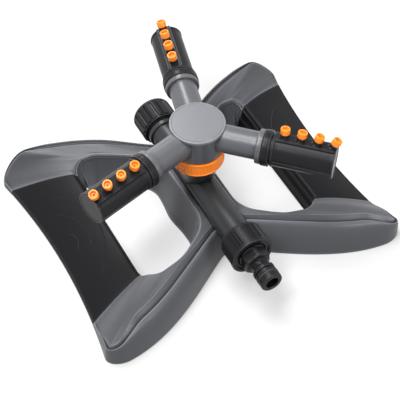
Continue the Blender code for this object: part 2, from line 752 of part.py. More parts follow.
def wing_mesh(outer, outer_face, inner, inner_face):
    """Joins the outer skin, the inner skin and the foot that closes them on the ground."""
    bm = bmesh.new()
    edged = len(outer_face)

    def add_rows(points):
        return [bm.verts.new(point) for point in points]

    outer_rows = [add_rows(outer[:, j]) for j in range(outer.shape[1])]
    lower_rows = [outer_rows[-1][:edged]]
    lower_rows += [add_rows(outer_face[:, j]) for j in range(1, outer_face.shape[1])]
    inner_rows = [add_rows(points) for points in inner]
    under_rows = [inner_rows[-1][:edged]] + [add_rows(points) for points in inner_face[1:]]
    for rows, closed in ((outer_rows, True), (lower_rows, False)):
        for first, second in zip(rows, rows[1:]):
            bridge(bm, first, second, closed)
    for rows, closed in ((inner_rows, True), (under_rows, False)):
        for first, second in zip(rows, rows[1:]):
            bridge(bm, second, first, closed)
    bridge(bm, inner_rows[0], outer_rows[0])
    bridge(bm, lower_rows[-1], under_rows[-1], closed=False)
    return finish_mesh("base_shell", bm, 26.0)


def panel_mesh(wing):
    """The grip panel of the right wing: the nominal surface, with its own thickness under it."""
    sides = []
    for inset in (SEAT_GAP, SEAT_GAP + PANEL_STEP):
        rim = at_distances(wing.rim, panel_distances(wing.rim_marks, inset))
        ground = at_distances(wing.ground, panel_distances(wing.ground_marks, inset))
        share = np.ones(len(rim))
        top, edge, shoulder = nominal_sections(rim, ground, share)
        face = face_rows(ground, edge, shoulder, share)
        sides.append((rim, ground, np.stack(top, axis=1), [top[-1]] + face[:-1], shoulder))
    upper = np.concatenate([sides[0][2][:, 1:-1], np.stack(sides[0][3], axis=1)], axis=1)
    _, ground, nominal, face, shoulder = sides[1]
    normals = surface_normals(nominal, periodic=False)
    sunk = sunk_edge([face[0], face[-1]], ground, shoulder, PANEL_THICKNESS)
    beneath = nominal - normals * PANEL_THICKNESS
    lower = np.concatenate([beneath[:, 1:-1], np.stack(sunk, axis=1)], axis=1)
    bm = bmesh.new()
    upper_rows = [[bm.verts.new(p) for p in upper[:, j]] for j in range(upper.shape[1])]
    lower_rows = [[bm.verts.new(p) for p in lower[:, j]] for j in range(lower.shape[1])]
    for first, second in zip(upper_rows, upper_rows[1:]):
        bridge(bm, first, second, closed=False)
    for first, second in zip(lower_rows, lower_rows[1:]):
        bridge(bm, second, first, closed=False)
    bridge(bm, lower_rows[0], upper_rows[0], closed=False)
    bridge(bm, upper_rows[-1], lower_rows[-1], closed=False)
    for end in (0, -1):
        loop = [row[end] for row in upper_rows] + [row[end] for row in reversed(lower_rows)]
        face = bm.faces.new(loop)
        bmesh.ops.triangulate(bm, faces=[face])
    return finish_mesh("grip_panel", bm, 40.0)


def mirrored_copy(mesh, name):
    copy = mesh.copy()
    copy.name = name
    copy.transform(Matrix.Scale(-1.0, 4, Vector((1.0, 0.0, 0.0))))
    copy.flip_normals()
    return copy


def trough_solid(name, radius, half_length, top, segments=19):
    """The part of a bar along Z that lies below a flat at a given height along +X."""
    half = math.acos(-top / radius)
    angles = np.linspace(-half, half, segments)
    outline = [-radius * np.cos(angles), radius * np.sin(angles)]
    ends = (-half_length, half_length)
    return loft(name, [np.column_stack([*outline, np.full(segments, z)]) for z in ends])


def add_base(finishes):
    wing = Wing()
    shell = place_mesh("base_shell", base_shell_mesh(wing), finishes["grey_plastic"])
    mirror = shell.modifiers.new("both_wings", "MIRROR")
    mirror.use_axis = (True, False, False)
    mirror.merge_threshold = 0.01 * MM
    run = {"location": (0.0, 0.0, TUBE_AXIS_HEIGHT), "turn": (-90.0, 0.0, 0.0)}
    channel_radius = TUBE_RADIUS + SEAT_GAP
    cradle = trough_solid("cradle", channel_radius + CRADLE_WALL, CRADLE_HALF_LENGTH, -CRADLE_BELOW_AXIS)
    cradle.transform(Matrix.Rotation(math.radians(-90.0), 4, "Z"))
    add_boolean(shell, "UNION", make_cutter("cradle_solid", cradle, **run))
    reach = BASE_WAIST + CHANNEL_OVERRUN
    channel = bar("tube_channel", channel_radius, -reach, reach, 40)
    add_boolean(shell, "DIFFERENCE", make_cutter("channel_cutter", channel, **run))
    panel = panel_mesh(wing)
    place_mesh("grip_panel_right", panel, finishes["black_grip"])
    place_mesh("grip_panel_left", mirrored_copy(panel, "grip_panel_left"), finishes["black_grip"])


# Water tube


def thread_profile(start, length):
    """A threaded end as a plain spigot with a chamfered lead-in, from its shoulder outward."""
    return [
        (THREAD_RADIUS, start),
        (THREAD_RADIUS, start + length - THREAD_LEAD_IN),
        (THREAD_RADIUS - THREAD_LEAD_IN, start + length),
    ]


def water_tube_mesh():
    front = [(r, -z) for r, z in thread_profile(TUBE_FRONT, THREAD_LENGTH)][::-1]
    back = thread_profile(TUBE_BACK, THREAD_LENGTH)
    collar_end = TUBE_BACK - COLLAR_TO_CAP
    collar_start = collar_end - COLLAR_LENGTH
    run_profile = front + [
        (TUBE_RADIUS, -TUBE_FRONT),
        (TUBE_RADIUS, collar_start),
        (COLLAR_RADIUS, collar_start),
        (COLLAR_RADIUS, collar_end),
        (TUBE_RADIUS, collar_end),
        (TUBE_RADIUS, TUBE_BACK),
    ] + back
    run = place_mesh("water_run", turned("water_run", run_profile, 32), turn=(-90.0, 0.0, 0.0))
    tower_profile = [
        (TOWER_FOOT_RADIUS - 2.0 * MM, -4.0 * MM),
        (TOWER_FOOT_RADIUS, TOWER_FOOT_HEIGHT - TUBE_AXIS_HEIGHT),
        (TOWER_HEAD_RADIUS, TOWER_FLARE_HEIGHT - TUBE_AXIS_HEIGHT),
        (TOWER_HEAD_RADIUS, TOWER_HEAD_HEIGHT - TUBE_AXIS_HEIGHT),
        (TOWER_SPIGOT_RADIUS, TOWER_HEAD_HEIGHT - TUBE_AXIS_HEIGHT),
        (TOWER_SPIGOT_RADIUS, TOWER_SPIGOT_HEIGHT - TUBE_AXIS_HEIGHT),
    ]
    tower = make_cutter("water_tower", turned("water_tower", tower_profile, 34))
    bore_ends = (-TUBE_FRONT - 2 * THREAD_LENGTH, TUBE_BACK + 2 * THREAD_LENGTH)
    run_bore_mesh = bar("water_run_bore", TUBE_BORE_RADIUS, *bore_ends, segments=23)
    run_bore = make_cutter("water_run_bore", run_bore_mesh, turn=(-90.0, 0.0, 0.0))
    shoulder = TOWER_SHOULDER_HEIGHT - TUBE_AXIS_HEIGHT
    top = TOWER_SPIGOT_HEIGHT - TUBE_AXIS_HEIGHT + 5.0 * MM
    tower_bore_profile = [
        (0.5 * TOWER_LOWER_BORE_RADIUS, 0.0),
        (TOWER_LOWER_BORE_RADIUS, 4.0 * MM),
        (TOWER_LOWER_BORE_RADIUS, shoulder),
        (TOWER_BORE_RADIUS, shoulder),
        (TOWER_BORE_RADIUS, top),
    ]
    tower_bore = make_cutter("water_tower_bore", turned("water_tower_bore", tower_bore_profile, 24))
    add_boolean(run, "UNION", tower)
    add_boolean(run, "DIFFERENCE", run_bore)
    add_boolean(run, "DIFFERENCE", tower_bore)
    mesh = applied_mesh(run, "water_tube")
    for helper in (run, tower, run_bore, tower_bore):
        bpy.data.objects.remove(helper, do_unlink=True)
    return mesh


def add_tower_rings(finishes):
    inner = TOWER_SPIGOT_RADIUS + SEAT_GAP
    ring_profile = [
        (inner, 0.0),
        (RING_FOOT_RADIUS - RING_EDGE, 0.0),
        (RING_FOOT_RADIUS, RING_EDGE),
        (RING_HEAD_RADIUS, RING_HEIGHT - RING_EDGE),
        (RING_HEAD_RADIUS - RING_EDGE, RING_HEIGHT),
        (inner, RING_HEIGHT),
    ]
    ring = turned("bearing_ring", ring_profile, 40, hollow=True)
    ring_at = (0.0, 0.0, TOWER_HEAD_HEIGHT + SEAT_GAP)
    place_mesh("bearing_ring", ring, finishes["orange_plastic"], location=ring_at)
    washer_bore = STEM_RADIUS + RUNNING_GAP
    washer = washer_mesh("thrust_washer", washer_bore, THRUST_WASHER_RADIUS, THRUST_WASHER_THICKNESS)
    washer_at = (0.0, 0.0, TOWER_SPIGOT_HEIGHT + SEAT_GAP)
    place_mesh("thrust_washer", washer, finishes["white_plastic"], location=washer_at)


# Rotor


def hub_mesh():
    """The drum, its stem and its three arms, with the water ways cut through them."""
    washer_top = TOWER_SPIGOT_HEIGHT + SEAT_GAP + THRUST_WASHER_THICKNESS
    recess_top = washer_top + SEAT_GAP
    groove = (clip_foot() - SEAT_GAP, clip_foot() + CLIP_THICKNESS + SEAT_GAP)
    seal_floor = STEM_RADIUS - 2 * SEAL_RADIUS + RUNNING_GAP - SEAL_FLOOR - SEAT_GAP
    seal_half = SEAL_RADIUS + SEAL_FLOOR
    stem_profile = [
        (STEM_RADIUS - STEM_CHAMFER, STEM_FOOT_HEIGHT),
        (STEM_RADIUS, STEM_FOOT_HEIGHT + STEM_CHAMFER),
        (STEM_RADIUS, groove[0]),
        (CLIP_GROOVE_RADIUS, groove[0]),
        (CLIP_GROOVE_RADIUS, groove[1]),
        (STEM_RADIUS, groove[1]),
        (STEM_RADIUS, STEM_SEAL_HEIGHT - seal_half),
        (seal_floor, STEM_SEAL_HEIGHT - seal_half),
        (seal_floor, STEM_SEAL_HEIGHT + seal_half),
        (STEM_RADIUS, STEM_SEAL_HEIGHT + seal_half),
        (STEM_RADIUS, recess_top),
        (HUB_RECESS_RADIUS, recess_top),
        (HUB_RECESS_RADIUS, HUB_FOOT_HEIGHT),
        (HUB_RADIUS, HUB_FOOT_HEIGHT),
        (HUB_RADIUS, HUB_HEAD_HEIGHT),
    ]
    hub = place_mesh("hub_body", turned("hub_body", stem_profile, 36))
    helpers = [hub]
    centre = (0.0, 0.0, ARM_AXIS_HEIGHT)
    for side, angle in ARM_ANGLES.items():
        arm = make_cutter("arm_" + side, arm_mesh(), None, centre, (0.0, 90.0, angle))
        add_boolean(hub, "UNION", arm)
        helpers.append(arm)
    bore_ends = (0.4 * ARM_BORE_RADIUS, ARM_SHOULDER + 2 * ARM_SPIGOT_LENGTH)
    for side, angle in ARM_ANGLES.items():
        bore_mesh = bar("arm_bore", ARM_BORE_RADIUS, *bore_ends, segments=15)
        bore = make_cutter("arm_bore_" + side, bore_mesh, None, centre, (0.0, 90.0, angle))
        add_boolean(hub, "DIFFERENCE", bore)
        helpers.append(bore)
    water_profile = [
        (STEM_BORE_RADIUS, STEM_FOOT_HEIGHT - CUT_OVERRUN),
        (STEM_BORE_RADIUS, CHAMBER_FLOOR),
        (CHAMBER_RADIUS, CHAMBER_FLOOR),
        (CHAMBER_RADIUS, HUB_HEAD_HEIGHT),
        (LID_RADIUS + SEAT_GAP, HUB_HEAD_HEIGHT),
        (LID_RADIUS + SEAT_GAP, HUB_HEAD_HEIGHT + CUT_OVERRUN),
    ]
    water_way = make_cutter("hub_water_way", turned("hub_water_way", water_profile, 32))
    add_boolean(hub, "DIFFERENCE", water_way)
    helpers.append(water_way)
    mesh = applied_mesh(hub, "rotor_hub")
    for helper in helpers:
        bpy.data.objects.remove(helper, do_unlink=True)
    return mesh


def clip_foot():
    """The height of the clip's underside, just below the tower's inner shoulder."""
    return TOWER_SHOULDER_HEIGHT - RUNNING_GAP - CLIP_THICKNESS


def seal_place():
    """Where an arm's seal lies along the arm."""
    return ARM_SHOULDER + 0.5 * ARM_SPIGOT_LENGTH


def arm_mesh():
    floor = ARM_SPIGOT_RADIUS - 2 * SEAL_RADIUS - SEAL_FLOOR
    half = SEAL_RADIUS + SEAL_FLOOR
    flange_start = ARM_SHOULDER - ARM_FLANGE_THICKNESS
    profile = [
        (ARM_RADIUS, HUB_RECESS_RADIUS + ARM_ROOT),
        (ARM_RADIUS, flange_start),
        (ARM_FLANGE_RADIUS, flange_start),
        (ARM_FLANGE_RADIUS, ARM_SHOULDER),
        (ARM_SPIGOT_RADIUS, ARM_SHOULDER),
        (ARM_SPIGOT_RADIUS, seal_place() - half),
        (floor, seal_place() - half),
        (floor, seal_place() + half),
        (ARM_SPIGOT_RADIUS, seal_place() + half),
        (ARM_SPIGOT_RADIUS, ARM_SHOULDER + ARM_SPIGOT_LENGTH),
    ]
    return turned("arm", profile, 22)


def lid_mesh():
    plug = CHAMBER_RADIUS - SEAT_GAP
    profile = [
        (plug, -LID_PLUG_DEPTH),
        (plug, 0.0),
        (LID_RADIUS - 0.4 * LID_EDGE, 0.0),
        (LID_RADIUS, 0.4 * LID_EDGE),
        (LID_RADIUS, LID_THICKNESS - LID_EDGE),
        (LID_RADIUS - 0.3 * LID_EDGE, LID_THICKNESS - 0.3 * LID_EDGE),
        (LID_RADIUS - LID_EDGE, LID_THICKNESS),
    ]
    return turned("hub_cap", profile, 40)


def spray_radius(angles, wide):
    """The spray tube's outer radius at angles from its deck. wide adds the deck and the lower ribs."""
    radius = np.full(len(angles), SPRAY_RADIUS)
    if not wide:
        return radius
    folded = np.abs((angles + math.pi) % (2 * math.pi) - math.pi)
    on_deck = folded < math.atan2(DECK_HALF_WIDTH, DECK_HEIGHT) + 0.01
    radius[on_deck] = DECK_HEIGHT / np.cos(folded[on_deck])
    radius[np.abs(folded - math.radians(LOWER_RIB_ANGLE)) < 0.04] += LOWER_RIB_HEIGHT
    return radius


def spray_angles():
    """Angles round the spray tube, closer where the deck and the ribs have their edges."""
    corner = math.degrees(math.atan2(DECK_HALF_WIDTH, DECK_HEIGHT))
    half = [corner, corner + 1.6, 44.0, 62.0, 80.0]
    half += [LOWER_RIB_ANGLE - 2.6, LOWER_RIB_ANGLE, LOWER_RIB_ANGLE + 2.6, 126.0, 145.0, 163.0]
    degrees = [0.0] + half + [180.0] + [360.0 - a for a in reversed(half)]
    return np.radians(degrees)


def along_row(radius, angles, along):
    """Points round X, with angle 0 at +Z."""
    return np.stack([np.full(len(angles), along), -radius * np.sin(angles), radius * np.cos(angles)], axis=1)


def spray_tube_mesh():
    angles = spray_angles()
    start = ARM_SHOULDER + SEAT_GAP
    collar_end = start + SPRAY_COLLAR_LENGTH
    bead_start = collar_end + SPRAY_BEAD_LENGTH
    bead_end = bead_start + SPRAY_BEAD_LENGTH
    lip_start = SPRAY_END - SPRAY_END_LIP_LENGTH
    bore = SPRAY_RADIUS - SPRAY_WALL
    outside = [
        (SPRAY_COLLAR_RADIUS, start),
        (SPRAY_COLLAR_RADIUS, collar_end),
        (SPRAY_RADIUS, collar_end),
        (SPRAY_RADIUS, bead_start),
        (SPRAY_BEAD_RADIUS, bead_start),
        (SPRAY_BEAD_RADIUS, bead_end),
    ]
    rows = [along_row(np.full(len(angles), r), angles, x) for r, x in outside]
    body = spray_radius(angles, True)
    rows.append(along_row(body, angles, bead_end))
    rows.append(along_row(body, angles, lip_start))
    lip = np.maximum(body, SPRAY_END_LIP_RADIUS)
    rows.append(along_row(lip, angles, lip_start))
    rows.append(along_row(lip, angles, SPRAY_END))
    outer = place_mesh("spray_body", loft("spray_body", rows))
    helpers = [outer]
    bosses, drills = [], []
    for index in range(NOZZLE_COUNT):
        location, fan = nozzle_seat(index)
        turn = (0.0, fan, 0.0)
        boss_mesh = bar("boss", BOSS_RADIUS, -BOSS_ROOT, BOSS_HEIGHT, 12)
        bosses.append(make_cutter(f"boss_{index}", boss_mesh, location=location, turn=turn))
        drill_mesh = bar("drill", BOSS_HOLE_RADIUS, -DRILL_DEPTH, BOSS_HEIGHT + DRILL_DEPTH, 9)
        drills.append(make_cutter(f"drill_{index}", drill_mesh, location=location, turn=turn))
    for boss in bosses:
        add_boolean(outer, "UNION", boss)
    bore_mesh = bar("spray_bore", bore, start - CUT_OVERRUN, SPRAY_END - SPRAY_END_WALL, 23)
    bore_cutter = make_cutter("spray_bore", bore_mesh, turn=(0.0, 90.0, 0.0))
    for cutter in [bore_cutter] + drills:
        add_boolean(outer, "DIFFERENCE", cutter)
    mesh = applied_mesh(outer, "spray_tube")
    for helper in helpers + bosses + drills + [bore_cutter]:
        bpy.data.objects.remove(helper, do_unlink=True)
    return mesh


def nozzle_seat(index):
    """A nozzle's place on the deck, in its arm's own axes, and its tilt outward in degrees."""
    return (NOZZLE_FIRST + index * NOZZLE_PITCH, 0.0, DECK_HEIGHT), index * NOZZLE_FAN


def nozzle_mesh():
    stem = BOSS_HOLE_RADIUS - SEAT_GAP
    foot = BOSS_HEIGHT + SEAT_GAP
    head = foot + NOZZLE_HEIGHT
    profile = [
        (NOZZLE_BORE_RADIUS, foot - NOZZLE_STEM_LENGTH),
        (stem, foot - NOZZLE_STEM_LENGTH),
        (stem, foot),
        (NOZZLE_RADIUS, foot),
        (NOZZLE_RADIUS, head - NOZZLE_EDGE),
        (NOZZLE_RADIUS - 0.8 * NOZZLE_EDGE, head),
        (NOZZLE_CUP_RADIUS, head),
        (NOZZLE_BORE_RADIUS, head - NOZZLE_CUP_DEPTH),
    ]
    return turned("nozzle", profile, 9, hollow=True)


def add_rotor(finishes):
    axis = place_empty("rotor_axis", (0.0, 0.0, 0.0))
    place_mesh("rotor_hub", hub_mesh(), finishes["grey_plastic"], axis)
    lid_at = (0.0, 0.0, HUB_HEAD_HEIGHT + SEAT_GAP)
    place_mesh("hub_cap", lid_mesh(), finishes["light_grey_plastic"], axis, lid_at)
    stem_seal_inner = STEM_RADIUS - 2 * SEAL_RADIUS + RUNNING_GAP - SEAT_GAP
    stem_seal = seal_mesh("stem_seal", stem_seal_inner, SEAL_RADIUS)
    place_mesh("stem_seal", stem_seal, finishes["rubber"], axis, (0.0, 0.0, STEM_SEAL_HEIGHT))
    clip = washer_mesh("stem_clip", CLIP_GROOVE_RADIUS + SEAT_GAP, CLIP_RADIUS, CLIP_THICKNESS)
    place_mesh("stem_clip", clip, finishes["steel"], axis, (0.0, 0.0, clip_foot()))
    tube = spray_tube_mesh()
    nozzle = nozzle_mesh()
    arm_seal = seal_mesh("arm_seal", ARM_SPIGOT_RADIUS - 2 * SEAL_RADIUS, SEAL_RADIUS)
    for side, angle in ARM_ANGLES.items():
        arm_axis = place_empty("arm_axis_" + side, (0.0, 0.0, ARM_AXIS_HEIGHT), angle, axis)
        seal_at = (seal_place(), 0.0, 0.0)
        place_mesh("arm_seal_" + side, arm_seal, finishes["rubber"], arm_axis, seal_at, (0.0, 90.0, 0.0))
        black = finishes["black_plastic"]
        leaned = place_mesh("spray_tube_" + side, tube, black, arm_axis, turn=(-SPRAY_LEAN, 0.0, 0.0))
        for index in range(NOZZLE_COUNT):
            location, fan = nozzle_seat(index)
            name = f"nozzle_{side}_{index + 1}"
            place_mesh(name, nozzle, finishes["orange_plastic"], leaned, location, (0.0, fan, 0.0))


# Inlet and outlet


def slotted_radius(angles, high, low):
    """A radius that falls to its low value in each slot between the nut's grip panels."""
    pitch = 2 * math.pi / NUT_PANELS
    offset = np.abs((angles + 0.5 * pitch) % pitch - 0.5 * pitch)
    return np.where(offset < 0.5 * math.radians(NUT_SLOT_ANGLE) + 1e-6, low, high)


def nipple_start():
    """How far in front of the nut's back end the nipple's flange begins."""
    return THREAD_LENGTH + SEAT_GAP - RUNNING_GAP + INLET_WASHER_THICKNESS + SEAT_GAP


def nut_mesh():
    """The nut round Z, its back end at height 0 and its flange at the far end."""
    slot = 0.5 * math.radians(NUT_SLOT_ANGLE)
    pitch = 2 * math.pi / NUT_PANELS
    local = [-slot - 0.03, -slot, slot, slot + 0.03, pitch / 2]
    angles = np.array([k * pitch + a for k in range(NUT_PANELS) for a in local])
    flange_start = NUT_LENGTH - NUT_FLANGE_LENGTH
    web_start = nipple_start() + NIPPLE_FLANGE_LENGTH + SEAT_GAP
    bore = THREAD_RADIUS + SEAT_GAP

    def body(radius, height):
        return ring_row(slotted_radius(angles, radius, min(radius, NUT_SLOT_RADIUS)), angles, height)

    def plain(radius, height):
        return ring_row(np.full(len(angles), radius), angles, height)

    rows = [
        plain(bore, 0.0),
        plain(NUT_BACK_RADIUS - 0.8 * MM, 0.0),
        plain(NUT_BACK_RADIUS, 1.0 * MM),
        plain(NUT_BACK_RADIUS, 2.2 * MM),
        body(NUT_RADIUS - 0.7 * MM, 2.2 * MM),
        body(NUT_RADIUS, 3.4 * MM),
        body(NUT_RADIUS, flange_start),
        plain(NUT_FLANGE_RADIUS, flange_start),
        plain(NUT_FLANGE_RADIUS, NUT_LENGTH - 0.6 * MM),
        plain(NUT_FLANGE_RADIUS - 0.6 * MM, NUT_LENGTH),
        plain(NUT_RECESS_RADIUS, NUT_LENGTH),
        plain(NUT_RECESS_RADIUS, NUT_LENGTH - NUT_RECESS_DEPTH),
        plain(NUT_MOUTH_RADIUS, NUT_LENGTH - NUT_RECESS_DEPTH),
        plain(NUT_MOUTH_RADIUS, web_start),
        plain(bore, web_start),
    ]
    return loft("inlet_nut", rows, hollow=True, sharp_angle=28.0)


def nipple_stations():
    """Heights along the nipple, from the back of its flange."""
    root_end = NIPPLE_FLANGE_LENGTH + NIPPLE_ROOT_LENGTH
    neck_end = root_end + NIPPLE_NECK_LENGTH
    collar_end = neck_end + NIPPLE_COLLAR_LENGTH
    groove_end = collar_end + NIPPLE_GROOVE_LENGTH
    band_end = groove_end + NIPPLE_BAND_LENGTH
    seal_end = band_end + 2 * (NIPPLE_SEAL_RADIUS + SEAL_FLOOR)
    return root_end, neck_end, collar_end, groove_end, band_end, seal_end, seal_end + NIPPLE_TIP_LENGTH


def nipple_mesh():
    root_end, neck_end, collar_end, groove_end, band_end, seal_end, tip = nipple_stations()
    seal_floor = NIPPLE_COLLAR_RADIUS - 2 * NIPPLE_SEAL_RADIUS
    angles = even_angles(24)
    flats = np.abs((angles + math.pi / 6) % (math.pi / 3) - math.pi / 6)

    def hexagon(radius, height):
        """Six flats whose corners are cut round at the root's radius."""
        across = 0.9 * radius
        return ring_row(np.minimum(across / np.cos(flats), radius), angles, height)

    def plain(radius, height):
        return ring_row(np.full(len(angles), radius), angles, height)

    rows = [
        plain(NIPPLE_BORE_RADIUS, 0.0),
        plain(NIPPLE_FLANGE_RADIUS, 0.0),
        plain(NIPPLE_FLANGE_RADIUS, NIPPLE_FLANGE_LENGTH),
        plain(NIPPLE_ROOT_RADIUS, NIPPLE_FLANGE_LENGTH),
        plain(NIPPLE_ROOT_RADIUS, NIPPLE_FLANGE_LENGTH + 3.4 * MM),
        hexagon(NIPPLE_ROOT_RADIUS, NIPPLE_FLANGE_LENGTH + 3.6 * MM),
        hexagon(NIPPLE_ROOT_RADIUS, root_end - 2.6 * MM),
        hexagon(NIPPLE_ROOT_RADIUS - 1.8 * MM, root_end - 0.8 * MM),
        plain(NIPPLE_NECK_RADIUS + 0.9 * MM, root_end + 0.8 * MM),
        plain(NIPPLE_NECK_RADIUS, root_end + 2.4 * MM),
        plain(NIPPLE_NECK_RADIUS, neck_end - 1.4 * MM),
        plain(NIPPLE_COLLAR_RADIUS, neck_end),
        plain(NIPPLE_COLLAR_RADIUS, collar_end),
        plain(NIPPLE_GROOVE_RADIUS, collar_end + 0.2 * MM),
        plain(NIPPLE_GROOVE_RADIUS, groove_end),
        plain(NIPPLE_COLLAR_RADIUS, groove_end + 0.4 * MM),
        plain(NIPPLE_COLLAR_RADIUS, band_end),
        plain(seal_floor, band_end),
        plain(seal_floor, seal_end),
        plain(NIPPLE_COLLAR_RADIUS, seal_end),
        plain(NIPPLE_COLLAR_RADIUS, tip - NIPPLE_TIP_CHAMFER),
        plain(NIPPLE_COLLAR_RADIUS - NIPPLE_TIP_CHAMFER, tip),
        plain(NIPPLE_BORE_RADIUS + 0.5 * MM, tip),
        plain(NIPPLE_BORE_RADIUS, tip - 0.5 * MM),
    ]
    return loft("inlet_nipple", rows, hollow=True, sharp_angle=28.0)


def cap_mesh():
    """The cap round Z, its mouth at height 0 and its closed end at the far end."""
    angles = np.array([
        (k + part) * 2 * math.pi / CAP_RIBS for k in range(CAP_RIBS) for part in (0.0, 0.16, 0.5, 0.66)
    ])
    ribbed = np.tile([0.0, 0.0, CAP_RIB_DEPTH, CAP_RIB_DEPTH], CAP_RIBS)
    bore = THREAD_RADIUS + SEAT_GAP
    rib_end = CAP_LENGTH - CAP_SHOULDER

    def body(radius, height, depth=1.0):
        return ring_row(radius - depth * ribbed, angles, height)

    def plain(radius, height):
        return ring_row(np.full(len(angles), radius), angles, height)

    arc = [
        (CAP_RADIUS - CAP_SHOULDER * (1.0 - math.cos(a)), rib_end + CAP_SHOULDER * math.sin(a))
        for a in np.radians([30.0, 60.0, 90.0])
    ]
    inner_end = cap_washer_place() + CAP_WASHER_THICKNESS + SEAT_GAP
    rows = [plain(0.35 * bore, inner_end), plain(bore, inner_end), plain(bore, 0.0)]
    rows.append(plain(CAP_RADIUS - CAP_RIB_DEPTH - CAP_MOUTH_CHAMFER, 0.0))
    rows.append(plain(CAP_RADIUS - CAP_RIB_DEPTH, CAP_MOUTH_CHAMFER))
    rows.append(plain(CAP_RADIUS - CAP_RIB_DEPTH, 1.6 * MM))
    rows.append(body(CAP_RADIUS - 0.2 * MM, 1.6 * MM))
    rows.append(body(CAP_RADIUS, 2.4 * MM))
    rows.append(body(CAP_RADIUS, rib_end))
    rows.append(body(arc[0][0], arc[0][1], 0.6))
    rows.extend(plain(r, z) for r, z in arc[1:])
    return loft("end_cap", rows, sharp_angle=28.0)


def cap_washer_place():
    """How far the cap's washer lies inside its mouth, on the thread's end."""
    return THREAD_LENGTH + SEAT_GAP - RUNNING_GAP


def add_ends(finishes):
    """The nut with its nipple, and the end cap, each with its washer."""
    front = place_empty("inlet_axis", (0.0, -TUBE_FRONT - RUNNING_GAP, TUBE_AXIS_HEIGHT))
    to_front = (90.0, 0.0, 0.0)
    place_mesh("inlet_nut", nut_mesh(), finishes["black_plastic"], front, turn=to_front)
    nipple_at = -nipple_start()
    washer_at = nipple_at + SEAT_GAP + INLET_WASHER_THICKNESS
    washer_radius = THREAD_RADIUS - WASHER_PLAY
    flat_ring = washer_mesh("inlet_washer", INLET_WASHER_BORE, washer_radius, INLET_WASHER_THICKNESS)
    place_mesh("inlet_washer", flat_ring, finishes["rubber"], front, (0.0, washer_at, 0.0), to_front)
    nipple = nipple_mesh()
    place_mesh("inlet_nipple", nipple, finishes["black_plastic"], front, (0.0, nipple_at, 0.0), to_front)
    *_, band_end, seal_end, _ = nipple_stations()
    seal_inner = NIPPLE_COLLAR_RADIUS - 2 * NIPPLE_SEAL_RADIUS + SEAL_FLOOR
    seal = seal_mesh("nipple_ring", seal_inner, NIPPLE_SEAL_RADIUS)
    seal_at = nipple_at - 0.5 * (band_end + seal_end)
    place_mesh("nipple_ring", seal, finishes["rubber"], front, (0.0, seal_at, 0.0), to_front)

    back = place_empty("outlet_axis", (0.0, TUBE_BACK + RUNNING_GAP, TUBE_AXIS_HEIGHT))
    to_back = (-90.0, 0.0, 0.0)
    place_mesh("end_cap", cap_mesh(), finishes["black_plastic"], back, turn=to_back)
    cap_washer = washer_mesh("end_cap_washer", TUBE_BORE_RADIUS, washer_radius, CAP_WASHER_THICKNESS)
    cap_washer_at = (0.0, cap_washer_place(), 0.0)
    place_mesh("end_cap_washer", cap_washer, finishes["rubber"], back, cap_washer_at, to_back)


def main():
    clear_scene()
    finishes = make_finishes()
    add_base(finishes)
    tube = water_tube_mesh()
    to_back = (-90.0, 0.0, 0.0)
    place_mesh("water_tube", tube, finishes["dark_grey_plastic"], None, (0.0, 0.0, TUBE_AXIS_HEIGHT), to_back)
    add_tower_rings(finishes)
    add_rotor(finishes)
    add_ends(finishes)


main()
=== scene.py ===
"""The looks of a three-arm rotary sprinkler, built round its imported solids.

The ground is z = 0, the rotor turns about the Z axis, the hose inlet points to -Y and the wings
of the base to +X and -X. Sizes are in millimetres, and each mesh is scaled to metres once, where
it is made.
"""

import logging
import math
from dataclasses import dataclass, replace
from enum import Enum
from functools import cache, cached_property
from typing import Callable, Sequence

import bmesh
import bpy
import numpy as np
from mathutils import Matrix, Vector


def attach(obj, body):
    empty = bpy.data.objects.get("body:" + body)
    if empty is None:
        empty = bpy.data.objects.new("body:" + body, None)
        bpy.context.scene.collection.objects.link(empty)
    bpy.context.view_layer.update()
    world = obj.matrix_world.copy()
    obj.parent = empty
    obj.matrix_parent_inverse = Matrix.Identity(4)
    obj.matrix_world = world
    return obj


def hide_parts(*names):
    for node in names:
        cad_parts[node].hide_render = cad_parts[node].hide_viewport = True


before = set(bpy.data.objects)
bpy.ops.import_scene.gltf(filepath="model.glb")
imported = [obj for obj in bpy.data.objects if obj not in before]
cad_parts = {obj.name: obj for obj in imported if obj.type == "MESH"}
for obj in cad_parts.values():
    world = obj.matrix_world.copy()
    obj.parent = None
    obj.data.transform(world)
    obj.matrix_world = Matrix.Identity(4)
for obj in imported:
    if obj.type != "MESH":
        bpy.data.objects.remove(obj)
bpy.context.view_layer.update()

TO_METRES = 0.001
EDGE_ATTRIBUTE = "edge"
GROOVE_ATTRIBUTE = "groove"
NO_CAPS = (False, False)
LOG = logging.getLogger("sprinkler")

Array = np.ndarray
Mesh = bpy.types.Mesh
Socket = bpy.types.NodeSocket
Pair = tuple[float, float]
Triple = tuple[float, float, float]
Colour = tuple[float, float, float, float]


# Shader graphs


